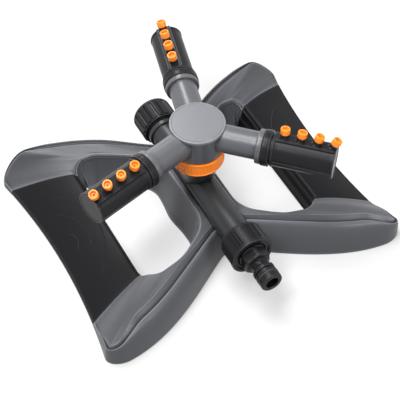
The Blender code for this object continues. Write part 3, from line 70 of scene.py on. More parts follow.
class Wire:
    """A value in a shader graph. Its operators add Math nodes."""

    def __init__(self, graph: "Graph", socket: Socket) -> None:
        """Holds the socket that gives the value.

        Args:
            graph: the graph that the socket belongs to.
            socket: an output socket that carries a number.
        """
        self.graph = graph
        self.socket = socket

    def math(self, operation: str, *values: "Wire | float", clamp: bool = False) -> "Wire":
        """A Math node on this value and the others.

        Args:
            operation: the Math node's operation.
            values: the node's other inputs.
            clamp: whether the result is kept from 0 to 1.

        Returns:
            The node's result.
        """
        inputs = dict(enumerate((self, *values)))
        made = self.graph.node("ShaderNodeMath", {"operation": operation, "use_clamp": clamp}, inputs)
        return Wire(self.graph, made.outputs[0])

    def __add__(self, other: "Wire | float") -> "Wire":
        """The sum."""
        return self.math("ADD", other)

    __radd__ = __add__

    def __mul__(self, other: "Wire | float") -> "Wire":
        """The product."""
        return self.math("MULTIPLY", other)

    __rmul__ = __mul__

    def __sub__(self, other: "Wire | float") -> "Wire":
        """The difference."""
        return self.math("SUBTRACT", other)

    def __rsub__(self, other: float) -> "Wire":
        """The difference from a number."""
        return self * -1.0 + other

    def __truediv__(self, other: "Wire | float") -> "Wire":
        """The quotient."""
        return self.math("DIVIDE", other)

    def __pow__(self, power: float) -> "Wire":
        """The value raised to a power."""
        return self.math("POWER", power)

    def between(self, low: float, high: float) -> "Wire":
        """0 below low, 1 above high and a straight ramp from one to the other."""
        return ((self - low) / (high - low)).math("ADD", 0.0, clamp=True)


class Graph:
    """Adds nodes to a node tree."""

    def __init__(self, tree: bpy.types.NodeTree) -> None:
        """Keeps the tree."""
        self.tree = tree

    def node(self, kind: str, settings: dict, inputs: dict) -> bpy.types.Node:
        """Adds a node.

        Args:
            kind: the node's type.
            settings: its properties, set before its sockets.
            inputs: socket name or number to a value, a socket or a Wire.

        Returns:
            The node.
        """
        made = self.tree.nodes.new(kind)
        for name, value in settings.items():
            setattr(made, name, value)
        for name, value in inputs.items():
            self.feed(made.inputs[name], value)
        return made

    def feed(self, socket: Socket, value: object) -> None:
        """Sets a socket, or links it.

        Args:
            socket: the input socket.
            value: a number, a colour, a socket or a Wire.
        """
        if isinstance(value, Wire):
            self.tree.links.new(value.socket, socket)
        elif isinstance(value, Socket):
            self.tree.links.new(value, socket)
        else:
            socket.default_value = value

    def mix(self, factor: Wire | float, low: object, high: object) -> Socket:
        """A colour between two colours.

        Args:
            factor: 0 for the first colour and 1 for the second.
            low: the first colour.
            high: the second colour.

        Returns:
            The mixed colour.
        """
        made = self.node("ShaderNodeMix", {"data_type": "RGBA"}, {0: factor, 6: low, 7: high})
        return made.outputs[2]

    def straight_ray(self) -> Wire:
        """Whether a ray comes from the camera, a mirror or clear plastic: the sum of three flags."""
        flags = self.node("ShaderNodeLightPath", {}, {}).outputs
        total = Wire(self, flags["Is Camera Ray"])
        for name in ("Is Glossy Ray", "Is Transmission Ray"):
            total = total.math("ADD", Wire(self, flags[name]), clamp=True)
        return total


class Bench(Graph):
    """Builds one material's graph."""

    def __init__(self, name: str) -> None:
        """Makes a material with its shader and output.

        Args:
            name: the material's name.
        """
        self.material = bpy.data.materials.new(name)
        self.material.use_nodes = True
        super().__init__(self.material.node_tree)
        self.shader = self.tree.nodes["Principled BSDF"]
        self.place = self.node("ShaderNodeTexCoord", {}, {}).outputs["Object"]

    def stretched(self, scale: Sequence[float]) -> Socket:
        """Object coordinates scaled along each axis.

        Args:
            scale: the factor along each axis.

        Returns:
            The socket of the scaled coordinates.
        """
        settings = {"vector_type": "POINT"}
        made = self.node("ShaderNodeMapping", settings, {"Vector": self.place, "Scale": tuple(scale)})
        return made.outputs["Vector"]

    def noise(self, size: float, detail: float = 2.0, place: Socket | None = None) -> Wire:
        """Smooth noise from 0 to 1.

        Args:
            size: the width of one blotch in millimetres.
            detail: how many finer layers it has.
            place: coordinates in metres, or the object's own.

        Returns:
            The noise.
        """
        scale = 1.0 / (size * TO_METRES)
        inputs = {"Vector": place or self.place, "Scale": scale, "Detail": detail}
        return Wire(self, self.node("ShaderNodeTexNoise", {}, inputs).outputs[0])

    def cells(self, size: float) -> Wire:
        """Distance to the nearest of many scattered points, in cell widths.

        Args:
            size: the mean distance between the points in millimetres.

        Returns:
            The distance.
        """
        inputs = {"Vector": self.place, "Scale": 1.0 / (size * TO_METRES)}
        return Wire(self, self.node("ShaderNodeTexVoronoi", {}, inputs).outputs["Distance"])

    def plan(self) -> tuple[Wire, Wire]:
        """The distance from the YZ plane, and Y, in millimetres."""
        split = self.node("ShaderNodeSeparateXYZ", {}, {"Vector": self.place})
        across = Wire(self, split.outputs[0]).math("ABSOLUTE") / TO_METRES
        return across, Wire(self, split.outputs[1]) / TO_METRES

    def bend(self, attribute: str) -> Wire:
        """How sharply the surface bends, from 0 to 1, from one of the mesh's own attributes."""
        settings = {"attribute_name": attribute, "attribute_type": "GEOMETRY"}
        return Wire(self, self.node("ShaderNodeAttribute", settings, {}).outputs["Fac"])

    def bump(self, height: Wire, depth: float) -> None:
        """Feeds the shader's normal.

        Args:
            height: the surface's height, from 0 to 1.
            depth: how many millimetres a height of 1 stands out.
        """
        made = self.node("ShaderNodeBump", {}, {"Height": height, "Distance": depth * TO_METRES})
        self.feed(self.shader.inputs["Normal"], made.outputs["Normal"])

    def set(self, **inputs: object) -> None:
        """Feeds the shader's sockets, named with underscores for spaces."""
        for name, value in inputs.items():
            self.feed(self.shader.inputs[name.replace("_", " ")], value)


def from_screen(red: int, green: int, blue: int) -> Colour:
    """A linear colour from screen values of 0 to 255: the usual curve, undone.

    Args:
        red: the screen's red.
        green: its green.
        blue: its blue.

    Returns:
        The colour, with an alpha of 1.
    """
    shares = np.array([red, green, blue]) / 255.0
    linear = np.where(shares <= 0.04045, shares / 12.92, ((shares + 0.055) / 1.055) ** 2.4)
    return (*[float(value) for value in linear], 1.0)


def grey(level: float) -> Colour:
    """A grey of this level."""
    return (level, level, level, 1.0)


def scaled(colour: Colour, factor: float) -> Colour:
    """A colour made darker or lighter by a factor."""
    return (*[min(1.0, channel * factor) for channel in colour[:3]], 1.0)


# Finishes


@dataclass(frozen=True)
class MouldedPlastic:
    """Smooth moulded plastic: faint flow blotches, a fine skin, a painted highlight on sharp outward edges
    and painted shade in creases.
    """

    name: str
    colour: Colour
    roughness: float = 0.36
    drift: float = 0.07
    skin_size: float = 0.55
    skin_depth: float = 0.010
    # Painted highlight on sharp outward edges: a lightening factor and its share.
    edge_highlight: float = 1.5
    edge_highlight_share: float = 0.35
    # Painted shade in creases: its share here and its level further down.
    crease_shade_share: float = 0.85
    fleck: float = 0.10
    gloss: float = 0.5
    flow_size: float = 34.0
    fleck_size: float = 2.1
    fleck_light: float = 1.35
    fleck_relief: float = 0.3
    # The level of the painted shade in creases, as a factor of the colour.
    crease_shade_level: float = 0.2
    rough_drift: Triple = (0.10, 0.06, 0.05)

    def material(self) -> bpy.types.Material:
        """The material."""
        bench = Bench(self.name)
        broad = bench.noise(self.flow_size, 3.0)
        fine = bench.noise(self.skin_size, 3.0)
        speck = bench.noise(self.fleck_size, 4.0)
        edge = bench.bend(EDGE_ATTRIBUTE)
        groove = bench.bend(GROOVE_ATTRIBUTE)
        dark, light = scaled(self.colour, 1.0 - self.drift), scaled(self.colour, 1.0 + self.drift)
        body = bench.mix(broad, dark, light)
        flecks = speck.between(0.56, 0.74) * self.fleck
        flecked = bench.mix(flecks, body, scaled(self.colour, self.fleck_light))
        # Painted shade: the colour darkens in creases, where the surface bends inward.
        shaded = bench.mix(groove * self.crease_shade_share, flecked, scaled(self.colour, self.crease_shade_level))
        # Painted highlight: the colour lightens on sharp outward edges.
        highlit = bench.mix(edge * self.edge_highlight_share, shaded, scaled(self.colour, self.edge_highlight))
        flow, fleck, rubbed = self.rough_drift
        rough = (broad - 0.5) * flow + (speck - 0.5) * fleck + edge * rubbed + self.roughness
        bench.set(Base_Color=highlit, Roughness=rough, Specular_IOR_Level=self.gloss)
        bench.bump(fine * (1.0 - self.fleck_relief) + speck * self.fleck_relief, self.skin_depth)
        return bench.material


@dataclass(frozen=True)
class GripPlastic:
    """Matt black moulding with an etched skin of tiny pits, faint rubbed patches, a painted highlight on
    sharp edges and lighter raised arcs.
    """

    name: str
    colour: Colour
    roughness: float = 0.47
    gloss: float = 0.09
    relief: float = 0.35
    pit_size: float = 0.42
    pit_share: float = 0.06
    rubbed_size: float = 26.0
    rubbed_light: float = 1.25
    dust_size: float = 1.3
    dust_share: float = 0.10
    dust_light: float = 2.2
    # Painted highlight on sharp edges, with lighter arcs: a lightening factor and its two shares.
    edge_and_arc_light: float = 4.5
    edge_and_arc_shares: Pair = (0.4, 0.7)
    ripples: tuple[tuple[float, ...], ...] = (
        (137.6, 9.5, 56.4, -32.0, 55.0), (132.0, 8.7, 40.0, -4.0, 38.0), (113.0, 7.5, 12.5, -2.0, 17.0),
    )
    ripple_width: float = 0.45

    def ripple(self, bench: Bench) -> Wire:
        """Thin raised arcs, the same on both sides of the object.

        Each arc is where the distance from a circle's centre comes within the width of its
        radius, on the side towards the rotor and between two limits of Y.

        Args:
            bench: the material's graph.

        Returns:
            1 on an arc's middle and 0 off the arcs.
        """
        across, along = bench.plan()
        total = across * 0.0
        for x, y, radius, low, high in self.ripples:
            from_centre = ((across - x) ** 2.0 + (along - y) ** 2.0).math("SQRT")
            near = 1.0 - ((from_centre - radius).math("ABSOLUTE") / self.ripple_width)
            inside = along.between(low, low + 6.0) * (1.0 - along.between(high - 6.0, high))
            side = 1.0 - across.between(x - 2.0, x)
            total = total + near.math("ADD", 0.0, clamp=True) * inside * side
        return total

    def material(self) -> bpy.types.Material:
        """The material."""
        bench = Bench(self.name)
        ripple = self.ripple(bench)
        pits = bench.cells(self.pit_size)
        rubbed = bench.noise(self.rubbed_size, 4.0).between(0.45, 0.75)
        dust = bench.noise(self.dust_size, 5.0).between(0.58, 0.80)
        edge = bench.bend(EDGE_ATTRIBUTE)
        on_edge, on_ripple = self.edge_and_arc_shares
        body = bench.mix(rubbed, self.colour, scaled(self.colour, self.rubbed_light))
        dusty = bench.mix(dust * self.dust_share, body, scaled(self.colour, self.dust_light))
        # Painted highlight: the colour lightens on sharp edges, and also on the raised arcs.
        highlit = bench.mix(edge * on_edge + ripple * on_ripple, dusty, scaled(self.colour, self.edge_and_arc_light))
        rough = self.roughness - rubbed * 0.07 + dust * 0.06 - ripple * 0.12
        bench.set(Base_Color=highlit, Roughness=rough, Specular_IOR_Level=self.gloss)
        bench.bump(pits.between(0.0, 0.8) * self.pit_share + ripple, self.relief)
        return bench.material


@dataclass(frozen=True)
class SealRubber:
    """Dull black rubber with a slightly mottled, powdery skin."""

    name: str
    colour: Colour
    roughness: float = 0.58
    bloom_size: float = 3.0
    bloom_light: float = 1.8
    skin_size: float = 0.25
    skin_depth: float = 0.012

    def material(self) -> bpy.types.Material:
        """The material."""
        bench = Bench(self.name)
        bloom = bench.noise(self.bloom_size, 5.0)
        body = bench.mix(bloom.between(0.4, 0.7), self.colour, scaled(self.colour, self.bloom_light))
        bench.set(Base_Color=body, Roughness=bloom * 0.2 + self.roughness)
        bench.bump(bench.noise(self.skin_size, 3.0), self.skin_depth)
        return bench.material


@dataclass(frozen=True)
class SpringSteel:
    """Plain steel with drawn lines round it and a little tarnish."""

    name: str
    colour: Colour
    roughness: float = 0.16
    line_size: float = 0.9
    line_depth: float = 0.004
    line_stretch: Triple = (1.0, 1.0, 14.0)
    tarnish_size: float = 5.0
    tarnish_share: float = 0.35
    tarnish_light: float = 0.55

    def material(self) -> bpy.types.Material:
        """The material."""
        bench = Bench(self.name)
        lines = bench.noise(self.line_size, 2.0, bench.stretched(self.line_stretch))
        tarnish = bench.noise(self.tarnish_size, 4.0).between(0.5, 0.8)
        body = bench.mix(tarnish * self.tarnish_share, self.colour, scaled(self.colour, self.tarnish_light))
        bench.set(Base_Color=body, Roughness=lines * 0.18 + tarnish * 0.12 + self.roughness, Metallic=1.0)
        bench.bump(lines, self.line_depth)
        return bench.material


class Finish(Enum):
    """The finishes of the sprinkler's pieces."""

    BASE_GREY = MouldedPlastic(
        "base_grey", from_screen(72, 73, 77), 0.36, edge_highlight=2.8, edge_highlight_share=0.8, fleck=0.20, gloss=0.22
    )
    ROTOR_GREY = MouldedPlastic("rotor_grey", from_screen(76, 77, 81), 0.32, gloss=0.4)
    # Painted light: the rotor's grey, made lighter for the light that falls on the lid's top.
    LID_GREY_LIT = MouldedPlastic("lid_grey_lit", from_screen(100, 102, 106), 0.33, 0.03, crease_shade_share=0.3)
    TUBE_DARK = MouldedPlastic("tube_dark", from_screen(44, 45, 47), 0.30, fleck=0.04, gloss=0.25)
    GLOSS_BLACK = MouldedPlastic(
        "gloss_black", from_screen(25, 25, 27), 0.30, edge_highlight=3.5, edge_highlight_share=0.7, fleck=0.03, gloss=0.12
    )
    ORANGE = MouldedPlastic(
        "orange", from_screen(255, 132, 24), 0.38, 0.03, edge_highlight=1.25, crease_shade_share=0.2, fleck=0.0
    )
    WHITE = MouldedPlastic("white", from_screen(222, 221, 216), 0.34, 0.02, edge_highlight=1.0)
    GRIP_BLACK = GripPlastic("grip_black", from_screen(16, 16, 18))
    RUBBER = SealRubber("rubber", from_screen(24, 24, 25))
    STEEL = SpringSteel("spring_steel", from_screen(196, 197, 200))


@cache
def material_of(finish: Finish) -> bpy.types.Material:
    """The material of a finish, made once."""
    return finish.value.material()


# Surfaces on grids


@dataclass
class Patch:
    """A grid of points with the way that its edges are joined.

    Attributes:
        points: an array of rows, columns and three coordinates, in millimetres.
        round_rows: whether each row's end joins its start.
        round_columns: whether the last row joins the first.
        caps: whether the first and the last row are closed with a fan.
    """

    points: Array
    round_rows: bool = True
    round_columns: bool = False
    caps: tuple[bool, bool] = (True, True)

    def moved(self, place: "Place") -> "Patch":
        """The patch at another place."""
        return replace(self, points=place.apply(self.points))

    def flipped(self, sign: float) -> "Patch":
        """The patch with its X times the sign: itself for 1, and its mirror image for -1."""
        return replace(self, points=self.points * (sign, 1.0, 1.0))

    def arrays(self, first: int) -> tuple[Array, Array, Array]:
        """Points, quads and triangles of the patch.

        The grid's numbers are one array, repeated past its joined edges, and every quad takes
        four neighbours in it. A cap's triangles share the mean of their row.

        Args:
            first: the number of the patch's first point.

        Returns:
            Points, quads and triangles.
        """
        rows, columns = self.points.shape[:2]
        numbers = first + np.arange(rows * columns).reshape(rows, columns)
        wide = np.concatenate([numbers, numbers[:, :1]], axis=1) if self.round_rows else numbers
        tall = np.concatenate([wide, wide[:1]]) if self.round_columns else wide
        quads = np.stack([tall[:-1, :-1], tall[:-1, 1:], tall[1:, 1:], tall[1:, :-1]], axis=-1)
        points = [self.points.reshape(-1, 3)]
        triangles = [np.zeros((0, 3), int)]
        centre = first + rows * columns
        for wanted, row in zip(self.caps, (0, rows - 1)):
            if self.round_columns or not wanted:
                continue
            points.append(self.points[row].mean(axis=0)[None])
            ring = wide[row]
            fan = [np.full(len(ring) - 1, centre), ring[1:], ring[:-1]]
            triangles.append(np.stack(fan if row == 0 else fan[::-1], axis=1))
            centre += 1
        return np.concatenate(points), quads.reshape(-1, 4), np.concatenate(triangles)


def mesh_of(name: str, *patches: Patch, crease: float = 30.0) -> Mesh:
    """A mesh of closed patches, in metres, with its faces pointing out.

    Args:
        name: the mesh's name.
        patches: its surfaces.
        crease: the angle in degrees above which an edge stays sharp.

    Returns:
        The mesh.
    """
    points, faces, sizes = [], [], []
    count = 0
    for patch in patches:
        made, quads, triangles = patch.arrays(count)
        points.append(made)
        faces += [quads.ravel(), triangles.ravel()]
        sizes += [np.full(len(quads), 4), np.full(len(triangles), 3)]
        count += len(made)
    mesh = bpy.data.meshes.new(name)
    corners = np.concatenate(faces).astype(np.int32)
    lengths = np.concatenate(sizes).astype(np.int32)
    mesh.vertices.add(count)
    mesh.vertices.foreach_set("co", (np.concatenate(points) * TO_METRES).astype(np.float32).ravel())
    mesh.loops.add(len(corners))
    mesh.loops.foreach_set("vertex_index", corners)
    mesh.polygons.add(len(lengths))
    starts = np.concatenate([[0], np.cumsum(lengths)[:-1]])
    mesh.polygons.foreach_set("loop_start", starts.astype(np.int32))
    mesh.update(calc_edges=True)
    return tidied(mesh, crease)


def tidied(mesh: Mesh, crease: float) -> Mesh:
    """Merges doubles, turns the faces outward and smooths the shading up to the crease angle.

    Args:
        mesh: the mesh, which is changed.
        crease: the angle in degrees above which an edge stays sharp.

    Returns:
        The same mesh.
    """
    work = bmesh.new()
    work.from_mesh(mesh)
    bmesh.ops.remove_doubles(work, verts=work.verts[:], dist=0.002 * TO_METRES)
    bmesh.ops.dissolve_degenerate(work, edges=work.edges[:], dist=0.001 * TO_METRES)
    bmesh.ops.recalc_face_normals(work, faces=work.faces[:])
    work.to_mesh(mesh)
    work.free()
    mesh.validate()
    return smoothed(mesh, crease)


def smoothed(mesh: Mesh, crease: float = 30.0) -> Mesh:
    """The mesh with smooth shading up to the crease angle.

    Args:
        mesh: the mesh, which is changed.
        crease: the angle in degrees above which an edge stays sharp.

    Returns:
        The same mesh.
    """
    mesh.shade_smooth()
    mesh.set_sharp_from_angle(angle=math.radians(crease))
    return mesh


def values_of(items: bpy.types.bpy_prop_collection, name: str, width: int, kind: type) -> Array:
    """One property of all of a mesh's faces, edges or corners.

    Args:
        items: the mesh's collection.
        name: the property.
        width: how many numbers it has.
        kind: the numbers' type.

    Returns:
        One value or one row for each item.
    """
    values = np.empty(len(items) * width, kind)
    items.foreach_get(name, values)
    return values if width == 1 else values.reshape(-1, width)


def mark_edges(mesh: Mesh, radius: float = 0.9, hollow: float = 1.8) -> None:
    """Writes how sharply each vertex bends outward, and in a second attribute inward.

    The bend of an edge is the angle between its faces over the width that the faces give it.
    It counts outward where the faces turn away from each other. A vertex takes its sharpest
    edge's bend, times a radius and kept from 0 to 1.

    Args:
        mesh: the mesh that gets the attributes.
        radius: the rounding in millimetres that counts as 1.
        hollow: the same for bends inward.
    """
    edges = len(mesh.edges)
    edge_of = values_of(mesh.loops, "edge_index", 1, np.int32)
    totals = values_of(mesh.polygons, "loop_total", 1, np.int32)
    normals = values_of(mesh.polygons, "normal", 3, float)
    centres = values_of(mesh.polygons, "center", 3, float)
    face_of = np.repeat(np.arange(len(totals)), totals)
    order = np.argsort(edge_of, kind="stable")
    paired = np.bincount(edge_of, minlength=edges) == 2
    starts = np.searchsorted(edge_of[order], np.arange(edges))[paired]
    one = face_of[order[starts]]
    two = face_of[order[starts + 1]]
    apart = centres[two] - centres[one]
    width = np.linalg.norm(apart, axis=1) + 1e-9
    angle = np.arccos(np.clip((normals[one] * normals[two]).sum(axis=1), -1.0, 1.0))
    outward = ((normals[two] - normals[one]) * apart).sum(axis=1) > 0.0
    bend = angle / width * TO_METRES
    ends = values_of(mesh.edges, "vertices", 2, np.int32)[paired]
    for name, weight in ((EDGE_ATTRIBUTE, outward * radius), (GROOVE_ATTRIBUTE, ~outward * hollow)):
        value = np.zeros(len(mesh.vertices))
        np.maximum.at(value, ends[:, 0], bend * weight)
        np.maximum.at(value, ends[:, 1], bend * weight)
        attribute = mesh.attributes.new(name, "FLOAT", "POINT")
        attribute.data.foreach_set("value", np.clip(value, 0.0, 1.0).astype(np.float32))


# Places


@dataclass(frozen=True)
class Place:
    """A piece's own origin and axes in the object's frame, in millimetres."""

    origin: Triple
    axes: tuple[Triple, ...]

    def apply(self, points: Array) -> Array:
        """Points in the object's frame: each own coordinate times its axis, plus the origin."""
        return points @ np.array(self.axes) + np.array(self.origin)


def upright(height: float) -> Place:
    """A place on the rotor's axis, with its own Z upward."""
    return Place((0.0, 0.0, height), ((1.0, 0.0, 0.0), (0.0, 1.0, 0.0), (0.0, 0.0, 1.0)))


def to_front(forward: float, height: float) -> Place:
    """A place on the tube's axis, this far in front of the rotor, with its own Z to the front."""
    return Place((0.0, -forward, height), ((1.0, 0.0, 0.0), (0.0, 0.0, 1.0), (0.0, -1.0, 0.0)))


def to_back(backward: float, height: float) -> Place:
    """A place on the tube's axis, this far behind the rotor, with its own Z to the back."""
    return Place((0.0, backward, height), ((1.0, 0.0, 0.0), (0.0, 0.0, -1.0), (0.0, 1.0, 0.0)))


def along_arm(degrees: float, lean: float, height: float) -> Place:
    """An arm's place: its own X points outward, and its own Z leans from upright about X.

    Args:
        degrees: the arm's direction, counted from +X towards +Y.
        lean: how far its own Z leans towards its own Y, in degrees.
        height: the arm's height.

    Returns:
        The place.
    """
    turn = math.radians(degrees)
    tilt = math.radians(lean)
    out = np.array([math.cos(turn), math.sin(turn), 0.0])
    side = np.array([-math.sin(turn), math.cos(turn), 0.0])
    rise = np.array([0.0, 0.0, 1.0])
    own_y = side * math.cos(tilt) - rise * math.sin(tilt)
    own_z = side * math.sin(tilt) + rise * math.cos(tilt)
    return Place((0.0, 0.0, height), (tuple(out), tuple(own_y), tuple(own_z)))


# Profiles and plane curves


def smooth_step(value: Array | float, low: float, high: float) -> Array:
    """0 below low, 1 above high, and 3t² - 2t³ between them."""
    share = np.clip((value - low) / (high - low), 0.0, 1.0)
    return share * share * (3.0 - 2.0 * share)


def corner_arc(before: Array, corner: Array, after: Array, radius: float, steps: int) -> Array:
    """The arc that rounds a corner and touches both of its sides.

    Its centre lies on the corner's bisector, at the radius over the sine of half the angle.

    Args:
        before: the point before the corner.
        corner: the corner.
        after: the point after it.
        radius: the arc's radius.
        steps: how many points it has.

    Returns:
        The arc's points, or the corner alone where it has no rounding.
    """
    back = before - corner
    on = after - corner
    back_length = np.linalg.norm(back)
    on_length = np.linalg.norm(on)
    if radius <= 0.0 or back_length < 1e-9 or on_length < 1e-9:
        return corner[None]
    back = back / back_length
    on = on / on_length
    half = math.acos(float(np.clip(back @ on, -1.0, 1.0))) / 2.0
    if half > 0.499 * math.pi:
        return corner[None]
    reach = min(radius / math.tan(half), 0.495 * back_length, 0.495 * on_length)
    radius = reach * math.tan(half)
    centre = corner + (back + on) / np.linalg.norm(back + on) * radius / math.sin(half)
    start = corner + back * reach - centre
    end = corner + on * reach - centre
    sweep = math.atan2(start[0] * end[1] - start[1] * end[0], start @ end)
    turns = np.linspace(0.0, sweep, steps)
    cos, sin = np.cos(turns), np.sin(turns)
    return centre + np.stack([start[0] * cos - start[1] * sin, start[0] * sin + start[1] * cos], axis=1)


def rounded(
    *corners: tuple[float, ...], closed: bool = False, steps: int = 6, longest: float = math.inf
) -> Array:
    """A line through corners, each rounded with its own radius.

    Args:
        corners: (across, along, rounding) or (across, along) of each corner.
        closed: whether the line joins its start.
        steps: how many points a rounding has.
        longest: the longest step that the line may have.

    Returns:
        Points of two coordinates.
    """
    points = [np.array(corner[:2], float) for corner in corners]
    radii = [corner[2] if len(corner) > 2 else 0.0 for corner in corners]
    last = len(points) - 1
    arcs = []
    for i, point in enumerate(points):
        ends_here = not closed and i in (0, last)
        before = points[i - 1]
        after = points[(i + 1) % len(points)]
        arcs.append(point[None] if ends_here else corner_arc(before, point, after, radii[i], steps))
    return finer(np.concatenate(arcs), longest)


def finer(line: Array, longest: float) -> Array:
    """A line with points added so that no step is longer than this.

    Args:
        line: rows of points.
        longest: the longest step.

    Returns:
        The finer line.
    """
    steps = np.linalg.norm(np.diff(line, axis=0), axis=1)
    counts = np.maximum(1, np.ceil(steps / longest).astype(int))
    whole = np.repeat(np.arange(len(counts)), counts)
    share = (np.arange(len(whole)) - np.repeat(np.cumsum(counts) - counts, counts)) / counts[whole]
    inner = line[whole] + (line[whole + 1] - line[whole]) * share[:, None]
    return np.concatenate([inner, line[-1:]])


def circle(count: int) -> Array:
    """Angles evenly round a circle."""
    return np.linspace(0.0, 2.0 * math.pi, count, endpoint=False)


def turned(profile: Array, segments: int = 96, hollow: bool = False) -> Patch:
    """A profile of radius and height carried round Z.

    Args:
        profile: points of radius and height.
        segments: how many steps the turn has.
        hollow: whether the profile is a closed line.

    Returns:
        The patch.
    """
    return shaped(profile, circle(segments), lambda angles, radius, height: radius, hollow)


def shaped(
    profile: Array,
    angles: Array,
    radius_at: Callable[[Array, Array, Array], Array],
    hollow: bool = False,
) -> Patch:
    """A profile carried round Z with a radius that also varies with the angle.

    Args:
        profile: points of radius and height.
        angles: the angles round Z.
        radius_at: gives the radius from the angle and the profile's radius and height.
        hollow: whether the profile is a closed line.

    Returns:
        The patch.
    """
    radius, height = profile[:, :1], profile[:, 1:]
    around = np.broadcast_to(angles, (len(profile), len(angles)))
    wide = radius_at(around, radius, height) * np.ones_like(around)
    points = [wide * np.cos(around), wide * np.sin(around), height * np.ones_like(around)]
    return Patch(np.stack(points, axis=-1), round_columns=hollow)


def turned_along(patch: Patch) -> Patch:
    """A patch turned from its own Z to its own X, with angle 0 at its own Z."""
    x, y, z = np.moveaxis(patch.points, -1, 0)
    return replace(patch, points=np.stack([z, -y, x], axis=-1))


def seal_patch(inner: float, section: float, height: float = 0.0, segments: int = 64) -> Patch:
    """A rubber ring: a circle of the section's radius carried round Z.

    Args:
        inner: the ring's inner radius.
        section: its section's radius.
        height: its height.
        segments: how many steps the turn has.

    Returns:
        The patch.
    """
    around = circle(16)
    across = inner + section + section * np.cos(around)
    profile = np.stack([across, height + section * np.sin(around)], axis=1)
    return turned(profile, segments, hollow=True)


def flat_ring(inner: float, outer: float, low: float, high: float, rounding: float) -> Patch:
    """A washer: a rounded rectangle carried round Z.

    Args:
        inner: the inner radius.
        outer: the outer radius.
        low: the height where it starts.
        high: the height where it ends.
        rounding: its edges' rounding.

    Returns:
        The patch.
    """
    corners = [(inner, low), (outer, low), (outer, high), (inner, high)]
    line = rounded(*[(*corner, rounding) for corner in corners], closed=True)
    return turned(line, hollow=True)


# Pieces


def placed(name: str, data: bpy.types.ID) -> bpy.types.Object:
    """A new object in the scene, made of a mesh, a lamp or a camera.

    Args:
        name: the object's name.
        data: what it shows.

    Returns:
        The object.
    """
    made = bpy.data.objects.new(name, data)
    bpy.context.scene.collection.objects.link(made)
    return made


class Part:
    """What every sub-assembly shares: making a piece, dressing it and putting it on its body."""

    body = "base"

    def add(self, mesh: Mesh, finish: Finish, slot: str, *nodes: str, body: str | None = None) -> None:
        """Shows a mesh as a piece that stands for its solids.

        Args:
            mesh: the piece's mesh, whose name it takes.
            finish: its finish.
            slot: the record's material slot; not used.
            nodes: the solids that it stands for.
            body: the body that it rides on, if not the sub-assembly's own.
        """
        mark_edges(mesh)
        mesh.materials.clear()
        mesh.materials.append(material_of(finish))
        piece = placed(mesh.name, mesh)
        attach(piece, body or self.body)
        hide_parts(*nodes)
        LOG.info("%s: %d faces", mesh.name, len(mesh.polygons))


def carved(
    name: str, body: Sequence[Patch], added: Sequence[Patch], cut: Sequence[Patch], crease: float = 30.0
) -> Mesh:
    """A solid with others joined to it and others cut out of it.

    Args:
        name: the mesh's name.
        body: the surfaces of the first solid.
        added: solids that are joined to it, one patch each.
        cut: solids that are cut out, one patch each.
        crease: the angle in degrees above which an edge stays sharp.

    Returns:
        The mesh.
    """
    solids = [(None, list(body))]
    solids += [("UNION", [patch]) for patch in added]
    solids += [("DIFFERENCE", [patch]) for patch in cut]
    helpers = []
    for operation, patches in solids:
        helper = placed(name + "_helper", mesh_of(name + "_helper", *patches))
        helpers.append(helper)
        if operation:
            modifier = helpers[0].modifiers.new(operation, "BOOLEAN")
            modifier.operation = operation
            modifier.solver = "EXACT"
            modifier.object = helper
    bpy.context.view_layer.update()
    graph = bpy.context.evaluated_depsgraph_get()
    mesh = bpy.data.meshes.new_from_object(helpers[0].evaluated_get(graph))
    mesh.name = name
    for helper in helpers:
        bpy.data.objects.remove(helper, do_unlink=True)
    return tidied(mesh, crease)


def joined(name: str, meshes: Sequence[Mesh]) -> Mesh:
    """Several closed meshes as one mesh.

    Args:
        name: the mesh's name.
        meshes: the meshes, which may reach into each other.

    Returns:
        The mesh.
    """
    work = bmesh.new()
    for mesh in meshes:
        work.from_mesh(mesh)
    whole = bpy.data.meshes.new(name)
    work.to_mesh(whole)
    work.free()
    return smoothed(whole)


# Base shell and grip panels


